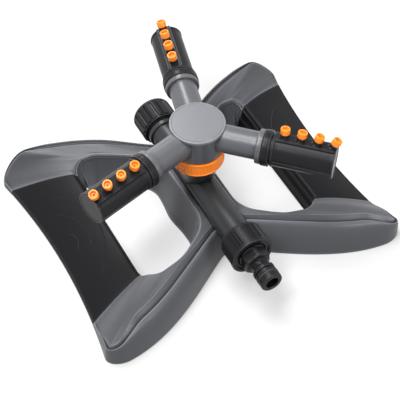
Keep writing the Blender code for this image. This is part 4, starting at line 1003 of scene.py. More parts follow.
@dataclass(frozen=True)
class BaseSizes:
    """The base's sizes in millimetres. Front is -Y, and a wing's lobes are its two far corners.

    A span is the two shares, from 0 at the waist to 1 at the grip panel, between which a size
    changes from one value to the next.
    """

    half_width: float = 117.0
    half_depth: float = 102.0
    side_sag: float = 10.0
    waist: float = 50.5
    waist_rounding: float = 7.0
    tip_rounding: float = 11.0
    tip_pull: Pair = (0.72, 0.62)
    wall: float = 2.4
    face_front: Pair = (10.5, 15.0)
    face_back: Pair = (7.5, 7.5)
    face_tip: float = 4.0
    face_spans: tuple[Pair, Pair, Pair] = ((0.0, 0.35), (0.58, 0.80), (0.80, 0.95))
    crease_depth: float = 3.1
    crease_width: Pair = (3.8, 6.2)
    crease_spans: tuple[Pair, Pair, Pair] = ((0.05, 0.35), (0.60, 0.80), (0.78, 0.93))
    crease_narrowing: float = 0.62
    crease_sides: Triple = (-0.12, 0.74, 1.0)
    ridge_fall: Pair = (0.35, 0.05)
    shoulder: Pair = (31.0, 26.5)
    shoulder_span: Pair = (0.3, 0.8)
    tip_span: Pair = (0.62, 0.88)
    lip_spans: tuple[Pair, Pair] = ((0.86, 1.0), (0.74, 0.97))
    lip_height: float = 4.3
    lip_inset: float = 1.3
    tip_height: float = 13.0
    bend_across: float = 97.0
    bend_rise: float = 0.6
    crown: float = 0.3
    rim: Pair = (33.4, 20.0)
    rim_power: float = 1.2
    rim_rise: Pair = (3.5, 6.0)
    rim_rise_front: Pair = (-36.0, -52.0)
    rim_rise_back: Pair = (36.0, 56.0)
    rim_rounding: Pair = (1.0, 3.0)
    hole_across: Pair = (15.6, 75.6)
    hole_corners: tuple[Triple, ...] = (
        (15.6, -38.6, 24.0), (42.3, -56.5, 34.0), (75.6, -61.0, 22.0), (75.6, 68.5, 8.0),
        (57.5, 66.5, 15.0), (15.6, 35.8, 24.0),
    )
    hole_draft: float = 0.20
    hole_waist_draft: float = 0.07
    hole_waist_reach: float = 13.0
    hole_corner_draft: float = 0.18
    hole_corner: Triple = (68.0, 64.0, 20.0)
    lip_drop: float = 3.4
    lip_step: float = 0.45
    cradle_radius: float = 14.4
    cradle_half: float = 39.0
    cradle_top: float = 30.4
    channel_radius: float = 11.8
    channel_half: float = 59.5
    tube_height: float = 35.3
    panel_thickness: float = 2.0
    panel_front: Pair = (50.5, 62.0)
    panel_back: Pair = (61.5, 83.0)
    panel_skirt: float = 7.0
    panel_foot: float = 1.2
    panel_valley: Triple = (4.6, 9.4, 1.3)
    panel_step: float = 0.9
    panel_edge: float = 0.7
    gap: float = 0.3


class PlaneLine:
    """A line in the ground plane with a normal at each point, read by the distance along it."""

    def __init__(self, points: Array, side: float) -> None:
        """Measures a line.

        The tangent at a point is the mean of the directions of the two steps that meet there,
        and the normal is the tangent turned by a right angle.

        Args:
            points: the line's points.
            side: 1 for normals on its left and -1 for normals on its right.
        """
        apart = np.linalg.norm(np.diff(points, axis=0), axis=1) > 0.001
        points = points[np.concatenate([[True], apart])]
        steps = np.diff(points, axis=0)
        lengths = np.linalg.norm(steps, axis=1)
        steps = steps / lengths[:, None]
        tangents = np.concatenate([steps[:1], steps[1:] + steps[:-1], steps[-1:]])
        tangents = tangents / np.linalg.norm(tangents, axis=1)[:, None]
        normals = side * np.stack([-tangents[:, 1], tangents[:, 0]], axis=1)
        self.table = np.concatenate([points, normals], axis=1)
        self.travelled = np.concatenate([[0.0], np.cumsum(lengths)])
        self.length = float(self.travelled[-1])

    def read(self, wanted: Array) -> Array:
        """Rows of point and unit normal at distances along the line.

        Args:
            wanted: the distances.

        Returns:
            One row for each distance.
        """
        read = np.stack([np.interp(wanted, self.travelled, self.table[:, k]) for k in range(4)], axis=1)
        read[:, 2:] /= np.linalg.norm(read[:, 2:], axis=1)[:, None]
        return read

    def mark(self, x: float, y: float) -> float:
        """The distance along the line of its point nearest to this one."""
        return float(self.travelled[np.argmin(np.linalg.norm(self.table[:, :2] - (x, y), axis=1))])


def resampled(grid: Array, at: Array) -> Array:
    """A grid read between its rows: the cubic through the four rows round each wanted place.

    Args:
        grid: rows of points.
        at: the wanted places, counted in rows.

    Returns:
        One row of points for each place.
    """
    low = np.clip(np.floor(at).astype(int), 0, len(grid) - 2)
    t = (at - low).reshape(-1, *[1] * (grid.ndim - 1))
    rows = [grid[np.clip(low + k, 0, len(grid) - 1)] for k in (-1, 0, 1, 2)]
    first = 2.0 * rows[1]
    second = (rows[2] - rows[0]) * t
    third = (2.0 * rows[0] - 5.0 * rows[1] + 4.0 * rows[2] - rows[3]) * t * t
    fourth = (3.0 * rows[1] - 3.0 * rows[2] + rows[3] - rows[0]) * t * t * t
    return 0.5 * (first + second + third + fourth)


@dataclass(frozen=True)
class Columns:
    """Where a row of sections stands in plan.

    Attributes:
        rim: rows of point and unit normal on the hole's rim.
        ground: rows of point and unit normal on the ground outline.
        share: 0 for a section at the waist and 1 where the grip panel begins.
    """

    rim: Array
    ground: Array
    share: Array

    @property
    def back(self) -> Array:
        """Which sections lie behind the rotor."""
        return self.ground[:, 1] > 0.0


class WingForm:
    """The right wing as a row of sections round its hole.

    Each section is a column of points that starts on the ground inside the hole, climbs the
    hole's wall, turns over the rim, follows the top to its shoulder and comes down the outer
    face.
    """

    FRONT, PANEL, BACK, CENTRE = 17, 11, 15, 7
    TURN_WEIGHT = 55.0
    HOLLOW_WIDTH = 2.5

    def __init__(self, sizes: BaseSizes, finer_by: int = 5) -> None:
        """Draws the outlines and finds where their zones meet.

        Args:
            sizes: the base's sizes.
            finer_by: how many columns stand for one column of the solid.
        """
        self.sizes = sizes
        self.finer_by = finer_by
        self.rim = PlaneLine(self.hole_outline(), 1.0)
        self.ground = PlaneLine(self.ground_outline(), -1.0)
        inner, outer = sizes.hole_across
        corners = sizes.hole_corners
        self.rim_marks = [
            self.rim.mark(inner + 3.0, corners[0][1] + 2.0),
            self.rim.mark(outer, -sizes.panel_front[0]),
            self.rim.mark(outer, sizes.panel_back[0]),
            self.rim.mark(inner + 3.0, corners[-1][1] - 1.0),
        ]
        self.ground_marks = [
            0.0,
            self.ground.mark(sizes.half_width, -sizes.panel_front[1]),
            self.ground.mark(sizes.half_width, sizes.panel_back[1]),
            self.ground.length,
        ]

    def ground_outline(self) -> Array:
        """The outer edge on the ground, from the front waist round to the back waist.

        The front edge is the waist plus the rest of the depth times the sine of the eased share
        of the width. The side is a parabola, and a cubic rounds the tip between them.

        Returns:
            Points in the plane.
        """
        s = self.sizes
        tip_x = s.half_width + 1.0
        across = np.linspace(0.0, tip_x - s.tip_rounding * 0.8, 240)
        eased = np.sqrt(across**2 + s.waist_rounding**2) - s.waist_rounding
        share = np.sin(0.5 * math.pi * np.clip(eased / (tip_x - s.waist_rounding), 0.0, 1.0))
        edge = np.stack([across, s.waist + (s.half_depth - s.waist) * share], axis=1)
        along = np.linspace(s.half_depth - s.tip_rounding, 0.0, 160)
        side = np.stack([s.half_width + s.side_sag * (along / 100.0) ** 2, along], axis=1)
        leave = edge[-1] - edge[-2]
        arrive = side[0] - side[1]
        leave = edge[-1] + leave * s.tip_pull[0] * s.tip_rounding / np.linalg.norm(leave)
        arrive = side[0] + arrive * s.tip_pull[1] * s.tip_rounding / np.linalg.norm(arrive)
        t = np.linspace(0.0, 1.0, 60)[:, None]
        u = 1.0 - t
        tip = u**3 * edge[-1] + 3 * u**2 * t * leave + 3 * u * t**2 * arrive + t**3 * side[0]
        half = np.concatenate([edge, tip[1:-1], side])
        return np.concatenate([half * (1.0, -1.0), half[::-1][1:]])

    def hole_outline(self) -> Array:
        """The hole's rim, from its middle beside the tube to the front and round."""
        middle = np.array([[self.sizes.hole_across[0], 0.0]])
        return np.concatenate([middle, rounded(*self.sizes.hole_corners, closed=True, steps=40), middle])

    def rim_height(self, columns: Columns) -> Array:
        """The rim falls from the tube to the side with a power of the way across.

        It stays higher along the lobes than beside the grip panel.

        Args:
            columns: the sections.

        Returns:
            The heights.
        """
        s = self.sizes
        inner, outer = s.hole_across
        high, low = s.rim
        x, y = columns.rim[:, 0], columns.rim[:, 1]
        front = s.rim_rise[0] * smooth_step(y, *s.rim_rise_front)
        back = s.rim_rise[1] * smooth_step(y, *s.rim_rise_back)
        low = low + (front + back) * (1.0 - smooth_step(columns.share, 0.84, 1.0))
        return high + (low - high) * np.clip((x - inner) / (outer - inner), 0.0, 1.0) ** s.rim_power

    def drafts(self, columns: Columns) -> Array:
        """How much the wall of the hole leans.

        It is the common draft, plus a bell over Y beside the tube, plus a round bell at the
        hole's outer back corner.

        Args:
            columns: the sections.

        Returns:
            The lean, as distance over height.
        """
        s = self.sizes
        x, y = columns.rim[:, 0], columns.rim[:, 1]
        corner_x, corner_y, reach = s.hole_corner
        beside = np.exp(-((y / s.hole_waist_reach) ** 2)) * smooth_step(x, 30.0, 18.0)
        corner = np.exp(-((x - corner_x) ** 2 + (y - corner_y) ** 2) / reach**2)
        return s.hole_draft + s.hole_waist_draft * beside + s.hole_corner_draft * corner

    def shoulder_height(self, columns: Columns) -> Array:
        """The shoulder falls smoothly to the lobe, to a front lobe's tip and to the side's lip.

        Args:
            columns: the sections.

        Returns:
            The heights.
        """
        s = self.sizes
        share = columns.share
        waist, lobe = s.shoulder
        height = waist - (waist - lobe) * smooth_step(share, *s.shoulder_span)
        low = height + (s.tip_height - height) * smooth_step(share, *s.tip_span)
        in_front = low + (s.lip_height - low) * smooth_step(share, *s.lip_spans[0])
        behind = height + (s.lip_height - height) * smooth_step(share, *s.lip_spans[1])
        return np.where(columns.back, behind, in_front)

    def bend(self, start: Array, edge: Array, t: float) -> Array:
        """A tent over the bend between the plateau and the outer facet, from 0 to 1.

        It climbs in a straight line from the rim to the bend and falls in one to the shoulder,
        and a hyperbola rounds its peak.

        Args:
            start: the distance of each column's rim from the rotor's axis, across.
            edge: the distance of its shoulder.
            t: the way from the rim to the shoulder, from 0 to 1.

        Returns:
            The tent's height at each column.
        """
        bend = self.sizes.bend_across
        x = start + (edge - start) * t
        climb = (x - start) / np.maximum(bend - start, 1.0)
        fall = (edge - x) / np.maximum(edge - bend, 1.0)
        sharp = np.clip(np.minimum(climb, fall), 0.0, 1.0)
        soft = 1.02 - np.sqrt((1.0 - sharp) ** 2 + 0.02)
        return np.clip(soft, 0.0, 1.0) * smooth_step(edge, bend + 1.0, bend + 12.0)

    def top_height(self, columns: Columns, t: float) -> Array:
        """The top's height between the rim and the shoulder.

        It is a power of the way across, plus a half sine for the crown.

        Args:
            columns: the sections.
            t: the way from the rim to the shoulder, from 0 to 1.

        Returns:
            The heights.
        """
        share = columns.share
        rim = self.rim_height(columns)
        power = 1.0 + 0.4 * smooth_step(share, 0.6, 1.0)
        crown = self.sizes.crown * smooth_step(share, 0.0, 0.3) * (1.0 - smooth_step(share, 0.7, 1.0))
        return rim + (self.shoulder_height(columns) - rim) * t**power + crown * math.sin(math.pi * t)

    def face_depth(self, columns: Columns) -> Array:
        """How far the shoulder lies inside the ground outline, eased from waist to lobe to side.

        Args:
            columns: the sections.

        Returns:
            The distances in plan.
        """
        s = self.sizes
        waist = np.where(columns.back, s.face_back[0], s.face_front[0])
        lobe = np.where(columns.back, s.face_back[1], s.face_front[1])
        to_lobe, to_tip, to_lip = [smooth_step(columns.share, *span) for span in s.face_spans]
        depth = waist + (lobe - waist) * to_lobe
        depth = depth + (s.face_tip - depth) * to_tip
        return depth + (s.lip_inset - depth) * to_lip

    def plan_edge(self, columns: Columns) -> Array:
        """The shoulder's plan points: the ground outline moved in by the face's depth."""
        return columns.ground[:, :2] - columns.ground[:, 2:] * self.face_depth(columns)[:, None]

    def turning_shares(self, line: PlaneLine, marks: list[float], zone: int, count: int) -> Array:
        """Shares of a zone's length that lie closer together where the line turns.

        Every small step counts as its length plus a weight times its turn, and the shares are
        even in that sum.

        Args:
            line: the outline.
            marks: its zone marks.
            zone: the zone's number.
            count: how many shares are wanted.

        Returns:
            The shares.
        """
        fine = np.linspace(0.0, 1.0, 400)
        length = marks[zone + 1] - marks[zone]
        normals = line.read(marks[zone] + length * fine)[:, 2:]
        turns = np.linalg.norm(np.diff(normals, axis=0), axis=1)
        travelled = np.concatenate([[0.0], np.cumsum(np.diff(fine) * length + self.TURN_WEIGHT * turns)])
        return np.interp(np.linspace(0.0, 1.0, count) * travelled[-1], travelled, fine)

    def side_columns(self, zone: int, count: int) -> Columns:
        """This many sections of the front (0) or back (2) zone.

        Args:
            zone: 0 for the front and 2 for the back.
            count: how many sections are wanted.

        Returns:
            The sections.
        """
        across = self.turning_shares(self.ground, self.ground_marks, zone, count)
        rim_across = 0.5 * (self.turning_shares(self.rim, self.rim_marks, zone, count) + across)
        rim, ground = self.rim_marks, self.ground_marks
        rim_rows = self.rim.read(rim[zone] + (rim[zone + 1] - rim[zone]) * rim_across)
        ground_rows = self.ground.read(ground[zone] + (ground[zone + 1] - ground[zone]) * across)
        if zone == 0:
            ground_rows[0, 2:] = (0.0, -1.0)
        else:
            ground_rows[-1, 2:] = (0.0, 1.0)
        return Columns(rim_rows, ground_rows, across if zone == 0 else 1.0 - across)

    def panel_columns(self, insets: Array, count: int) -> Columns:
        """The sections under or on the grip panel.

        Args:
            insets: distances of the end sections from the zone's ends, outermost first.
            count: how many sections lie between the innermost ones.

        Returns:
            The sections.
        """
        rows = []
        for line, marks in ((self.rim, self.rim_marks), (self.ground, self.ground_marks)):
            start, end = marks[1] + insets, marks[2] - insets[::-1]
            inner = np.linspace(start[-1], end[0], count + 2)[1:-1]
            rows.append(line.read(np.concatenate([start, inner, end])))
        return Columns(*rows, np.ones(len(rows[0])))

    def top_rows(
        self,
        columns: Columns,
        edge: Array,
        wall: Array,
        arc: Array,
        across: Array,
        saddle: Array | None = None,
    ) -> Array:
        """The nominal surface from the hole's wall over the rim to the shoulder.

        The wall leans by the draft and steps back under its lip. The rim is a quarter circle.
        The top runs straight across in plan.

        Args:
            columns: the sections.
            edge: the plan point where each section's top ends.
            wall: the wall's places, from 0 on the ground to 1 at the rounding's foot.
            arc: the rounding's angles, above 0 and up to a right angle.
            across: the ways over the top, above 0 and up to 1.
            saddle: the height where each section's top ends, for sections between the wings.

        Returns:
            Points by column and row.
        """
        s = self.sizes
        rim, share = columns.rim, columns.share
        height = self.rim_height(columns)
        draft = self.drafts(columns)
        rounding = s.rim_rounding[0] + (s.rim_rounding[1] - s.rim_rounding[0]) * smooth_step(share, 0.8, 1.0)
        rows = []
        for up in wall:
            z = (height - rounding) * up
            below = smooth_step(height - z, s.lip_drop, s.lip_drop + 0.5)
            fade = smooth_step(z, 1.0, 4.0)
            reach = draft * (height - z) - s.lip_step * below * fade
            rows.append(np.column_stack([rim[:, :2] + rim[:, 2:] * reach[:, None], z]))
        for angle in arc:
            set_back = rounding * (1.0 - math.cos(angle))
            z = height - rounding * (1.0 - math.sin(angle))
            rows.append(np.column_stack([rim[:, :2] - rim[:, 2:] * set_back[:, None], z]))
        start = rows[-1]
        for t in across:
            flat = start[:, :2] + (edge - start[:, :2]) * t
            if saddle is None:
                bend = s.bend_rise * self.bend(start[:, 0], edge[:, 0], t)
                z = self.top_height(columns, t) + bend * (1.0 - smooth_step(share, 0.9, 1.0))
            else:
                z = start[:, 2] + (saddle - start[:, 2]) * t
            rows.append(np.column_stack([flat, z]))
        return np.stack(rows, axis=1)

    def face_rows(self, columns: Columns, steps: int) -> Array:
        """The band below the shoulder, the crease, its ridge and the bulging face to the ground.

        The band falls from the shoulder in a smooth step, the crease's far side climbs in
        another, and the face is a quarter ellipse.

        Args:
            columns: the sections.
            steps: how many rows each side of the crease has.

        Returns:
            Points by column and row.
        """
        s = self.sizes
        ground = columns.ground
        edge = self.plan_edge(columns)
        shoulder = self.shoulder_height(columns)
        widening, narrowing, ending = [smooth_step(columns.share, *span) for span in s.crease_spans]
        amount = 1.0 - ending
        narrow, wide = s.crease_width
        width = narrow + (wide - narrow) * widening
        width = width * (1.0 - s.crease_narrowing * narrowing) * (0.15 + 0.85 * amount)
        depth = s.crease_depth * amount
        ridge_fall = s.ridge_fall[0] * depth + s.ridge_fall[1] * width
        start, bottom, end = s.crease_sides
        rows = []
        for t in np.linspace(0.0, 1.0, 2 * steps + 1)[1:]:
            down = depth * float(smooth_step(t, start, bottom))
            up = (depth - ridge_fall) * float(smooth_step(t, bottom, end))
            rows.append(np.column_stack([edge + ground[:, 2:] * (t * width)[:, None], shoulder - down + up]))
        ridge = rows[-1]
        for angle in np.linspace(0.0, math.pi / 2, 4 * steps)[1:]:
            flat = ridge[:, :2] + (ground[:, :2] - ridge[:, :2]) * math.sin(angle)
            rows.append(np.column_stack([flat, ridge[:, 2] * math.cos(angle)]))
        rows[-1][:, 2] = 0.0
        return np.stack(rows, axis=1)

    def inner_rows(self, columns: Columns, deep: float) -> tuple[Array, Array]:
        """The inside of each section: its wall and ceiling, and then its face.

        The inside follows the outside at the wall's thickness. Where the top is narrow, the
        ceiling drops until the hollow under it is wide enough.

        Args:
            columns: the sections.
            deep: how deep the inside lies under the outside.

        Returns:
            Points of the wall and ceiling, and points of the face, by column and row.
        """
        rim, ground = columns.rim, columns.ground
        height = self.rim_height(columns)
        ceiling = height - 1.1 * deep
        lift = np.maximum(self.shoulder_height(columns) - deep, 0.8)
        lift = np.minimum.reduce([np.roll(lift, k) for k in range(-3, 4)])
        inset = np.maximum(self.face_depth(columns) + 0.5 * deep, deep + 0.1) - deep
        across = ground[:, :2] - rim[:, :2]
        across = across / np.linalg.norm(across, axis=1)[:, None]

        def wall_at(z: Array) -> Array:
            """Plan points of the inner wall at a height."""
            return rim[:, :2] + rim[:, 2:] * (self.drafts(columns) * (height - z) - deep)[:, None]

        def face_at(up: Array) -> Array:
            """Plan points of the inner face at a share of its height: a quarter ellipse."""
            bulge = 1.0 - np.sqrt(1.0 - up**2)
            return ground[:, :2] - ground[:, 2:] * (deep + inset * bulge)[:, None]

        drop = np.zeros(len(rim))
        for _ in range(18):
            gap = ((face_at(1.0 - drop / lift) - wall_at(ceiling - drop)) * across).sum(axis=1)
            drop = np.where((gap < self.HOLLOW_WIDTH) & (drop < 0.7 * lift), drop + 1.0, drop)
        start = np.column_stack([wall_at(ceiling - drop), ceiling - drop])
        end = np.column_stack([face_at(1.0 - drop / lift), lift - drop])
        middle = 0.5 * (start + end)
        middle[:, 2] = self.top_height(columns, 0.5) - 1.1 * deep - drop
        low = 0.5 * (ceiling - drop)
        walls = [np.column_stack([wall_at(z), z]) for z in (np.zeros_like(low), low)]
        up = (1.0 - drop / lift) * math.cos(0.3 * math.pi)
        knee = np.column_stack([face_at(up), lift * up])
        foot = np.column_stack([face_at(np.zeros_like(lift)), np.zeros(len(lift))])
        return np.stack([*walls, start, middle, end], axis=1), np.stack([end, knee, foot], axis=1)


def grid_normals(grid: Array) -> Array:
    """Unit normals of a grid of points: the cross product of its central differences both ways.

    Args:
        grid: points by column and row.

    Returns:
        The normals, which point up on the top.
    """
    normals = np.cross(np.gradient(grid, axis=1), np.gradient(grid, axis=0))
    normals = normals / np.maximum(np.linalg.norm(normals, axis=2), 1e-9)[:, :, None]
    return normals * np.sign(normals[:, -2, 2].mean())


@dataclass(frozen=True)
class Base(Part):
    """The shell with its two wings and the two black grip panels on it."""

    sizes: BaseSizes = BaseSizes()

    WALL = np.concatenate([np.linspace(0.0, 0.75, 8), np.linspace(0.78, 1.0, 14)])
    ARC = np.linspace(0.0, math.pi / 2, 8)[1:]
    ACROSS = np.linspace(0.0, 1.0, 21)[1:]
    FACE_STEPS = 5

    @cached_property
    def form(self) -> WingForm:
        """The right wing's form."""
        return WingForm(self.sizes)

    def open_zone(self, zone: int, count: int) -> tuple[Array, Array]:
        """Outer and inner points of the columns of the front or back zone.

        Args:
            zone: 0 for the front and 2 for the back.
            count: how many columns the solid has there.

        Returns:
            The outer points and the inner points, by column and row.
        """
        fine = (count - 1) * self.form.finer_by + 1
        columns = self.form.side_columns(zone, fine)
        edge = self.form.plan_edge(columns)
        top = self.form.top_rows(columns, edge, self.WALL, self.ARC, self.ACROSS)
        face = self.form.face_rows(columns, self.FACE_STEPS)
        walls, under = self.form.inner_rows(self.form.side_columns(zone, count), self.sizes.wall)
        inner = np.concatenate([under[:, ::-1], walls[:, -2::-1]], axis=1)
        inner = resampled(inner, np.linspace(0.0, count - 1.0, fine))
        return np.concatenate([top, face], axis=1), inner

    def panel_zone(self) -> tuple[Array, Array]:
        """Outer and inner points of the shell under the grip panel.

        The outer points are the nominal surface of the solid's own columns and rows, moved in
        along its normals by the panel's thickness and gap, and read finely between them.

        Returns:
            The outer points and the inner points, by column and row.
        """
        s = self.sizes
        recess = s.panel_thickness + s.gap
        columns = self.form.panel_columns(np.array([s.panel_step]), self.form.PANEL)
        rim, ground = columns.rim, columns.ground
        edge = self.form.plan_edge(columns)
        height = self.form.rim_height(columns)
        wall = np.array([0.0, float(np.mean((height - s.panel_skirt) / (height - s.rim_rounding[1]))), 1.0])
        arc = np.array([math.pi / 4, math.pi / 2])
        nominal = self.form.top_rows(columns, edge, wall, arc, np.array([0.25, 0.5, 0.75, 1.0]))
        sunk = nominal - grid_normals(nominal) * recess
        sunk[:, 0, :2] = nominal[:, 0, :2] - rim[:, 2:] * recess
        sunk[:, 0, 2] = 0.0
        shoulder = self.form.shoulder_height(columns)
        fall = (shoulder - 1.09 * recess) / shoulder
        face = self.form.face_rows(columns, 1)
        lip = np.concatenate([nominal[:, -1:], face], axis=1)
        offset = lip[:, :, :2] - ground[:, None, :2]
        flat = (ground[:, :2] - ground[:, 2:] * recess)[:, None] + 0.15 * offset
        lip = np.concatenate([flat, lip[:, :, 2:] * fall[:, None, None]], axis=2)
        rows = np.concatenate([sunk[:, :-1], lip], axis=1)
        wanted = len(self.WALL) + len(self.ARC) + len(self.ACROSS) + 6 * self.FACE_STEPS - 1
        down = np.linspace(0.0, rows.shape[1] - 1.0, wanted)
        rows = np.moveaxis(resampled(np.moveaxis(rows, 1, 0), down), 0, 1)
        walls, under = self.form.inner_rows(columns, recess + s.wall)
        inner = np.concatenate([under[:, ::-1], walls[:, -2::-1]], axis=1)
        at = np.linspace(0.0, len(rim) - 1.0, (len(rim) - 1) * self.form.finer_by + 1)
        return resampled(rows, at), resampled(inner, at)

    def centre_zone(self, ends: Array) -> tuple[Array, Array]:
        """Outer and inner points between the last column and the first, beside the tube.

        Their tops end on the plane between the wings, which sags as a parabola.

        Args:
            ends: the plan Y where the last column and the first column end.

        Returns:
            The outer points and the inner points, by column and row.
        """
        form = self.form
        fine = (form.CENTRE + 1) * form.finer_by + 1
        length = form.rim.length
        at = np.linspace(form.rim_marks[3], length + form.rim_marks[0], fine)
        rim = form.rim.read(at % length)
        edge = np.zeros((fine, 4))
        edge[:, 1] = np.linspace(ends[0], ends[1], fine)
        high, waist = self.sizes.rim[0], self.sizes.shoulder[0]
        saddle = high - (high - waist) * (edge[:, 1] / np.where(edge[:, 1] > 0.0, ends[0], ends[1])) ** 2
        columns = Columns(rim, edge, np.zeros(fine))
        top = form.top_rows(columns, edge[:, :2], self.WALL, self.ARC, self.ACROSS, saddle)
        walls, _ = form.inner_rows(columns, self.sizes.wall)
        walls[:, 4] = np.column_stack([edge[:, :2], saddle - self.sizes.wall])
        walls[:, 3] = 0.5 * (walls[:, 2] + walls[:, 4])
        return top, walls[:, ::-1]

    def wing_patches(self) -> list[Patch]:
        """The right half of the shell, open on the plane between the wings."""
        front, front_inner = self.open_zone(0, self.form.FRONT)
        panel, panel_inner = self.panel_zone()
        back, back_inner = self.open_zone(2, self.form.BACK)
        outer = np.concatenate([front, panel, back])
        inner = np.concatenate([front_inner, panel_inner, back_inner])
        top_count = len(self.WALL) + len(self.ARC) + len(self.ACROSS)
        shoulder = top_count - 1
        centre, centre_inner = self.centre_zone(np.array([back[-1, shoulder, 1], front[0, shoulder, 1]]))
        centre[0], centre[-1] = back[-1, :top_count], front[0, :top_count]
        rows = centre_inner.shape[1]
        centre_inner[0], centre_inner[-1] = back_inner[-1, -rows:], front_inner[0, -rows:]
        ring = np.concatenate([outer, inner], axis=1)
        strip = np.concatenate([centre_inner, centre], axis=1)
        return [Patch(ring, caps=NO_CAPS), Patch(strip, False, caps=NO_CAPS)]

    def shell(self) -> None:
        """Makes the shell: both wings, the cradle under the tube and the tube's channel."""
        s = self.sizes
        wing = self.wing_patches()
        both = wing + [patch.flipped(-1.0) for patch in wing]
        half = math.acos((s.tube_height - s.cradle_top) / s.cradle_radius)
        angles = np.linspace(-half, half, 61)
        across = s.cradle_radius * np.sin(angles)
        height = -s.cradle_radius * np.cos(angles) + s.tube_height
        ends = (-s.cradle_half, s.cradle_half)
        cradle = np.stack([np.column_stack([across, np.full(61, end), height]) for end in ends])
        channel = np.array([[s.channel_radius, -s.channel_half], [s.channel_radius, s.channel_half]])
        channel = turned(channel, 120).moved(to_back(0.0, s.tube_height))
        mesh = carved("base_shell_body", both, [Patch(cradle)], [channel], 24.0)
        self.add(mesh, Finish.BASE_GREY, "base_grey", "base_shell")

    def panel_sheet(self) -> list[Patch]:
        """The right grip panel as an upper and a lower surface joined round their edges.

        The upper surface's ends are rounded: it sinks by r - sqrt(r² - (r - d)²) within the
        rounding r of an end, where d is the distance from it. On the hole's wall it also sinks
        into a valley under its lip, between two smooth steps.

        Returns:
            The patches.
        """
        s = self.sizes
        form = self.form
        near = s.panel_edge * (1.0 - np.cos(np.linspace(0.0, math.pi / 2, 6)))
        columns = form.panel_columns(s.gap + near, 81)
        height = form.rim_height(columns)
        wall = np.linspace(s.panel_foot / float(np.mean(height - s.rim_rounding[1])), 1.0, 34)
        arc = np.linspace(0.0, math.pi / 2, 12)[1:]
        across = np.linspace(0.0, 1.0, 31)[1:]
        top = form.top_rows(columns, form.plan_edge(columns), wall, arc, across)
        face = form.face_rows(columns, 2)[:, :-1]
        upper = np.concatenate([top, face], axis=1)
        normals = grid_normals(upper)
        sink = s.panel_edge - np.sqrt(s.panel_edge**2 - (s.panel_edge - near) ** 2)
        sinks = np.zeros(len(upper))
        sinks[: len(near)] = sink
        sinks[-len(near) :] = sink[::-1]
        place = np.linspace(0.0, 1.0, upper.shape[1])
        thin = np.minimum(smooth_step(place, -0.02, 0.03), 1.0 - 0.6 * smooth_step(place, 0.9, 1.0))
        lower = upper - normals * s.panel_thickness * np.maximum(thin, 0.3)[None, :, None]
        lower[:, :, 2] = np.maximum(lower[:, :, 2], 0.15)
        start, end, deep = s.panel_valley
        below = height[:, None] - upper[:, :, 2]
        valley = deep * smooth_step(below, start, start + 1.2) * smooth_step(below, end + 2.2, end)
        valley[:, len(wall) :] = 0.0
        upper = upper - normals * (sinks[:, None] + valley)[:, :, None]
        ring = np.concatenate([upper, lower[:, ::-1]], axis=1)
        strips = [Patch(np.stack([upper[k], lower[k]]), False, caps=NO_CAPS) for k in (0, -1)]
        return [Patch(ring, caps=NO_CAPS), *strips]

    def panels(self) -> None:
        """Makes the two grip panels, each the other's mirror image."""
        right = self.panel_sheet()
        for side, sign in (("right", 1.0), ("left", -1.0)):
            sheet = [patch.flipped(sign) for patch in right]
            name = "grip_panel_" + side
            self.add(mesh_of(name + "_skin", *sheet, crease=35.0), Finish.GRIP_BLACK, "grip_black", name)

    def build(self) -> None:
        """Makes the shell and its panels."""
        self.shell()
        self.panels()


# Water tube and the rings on its tower


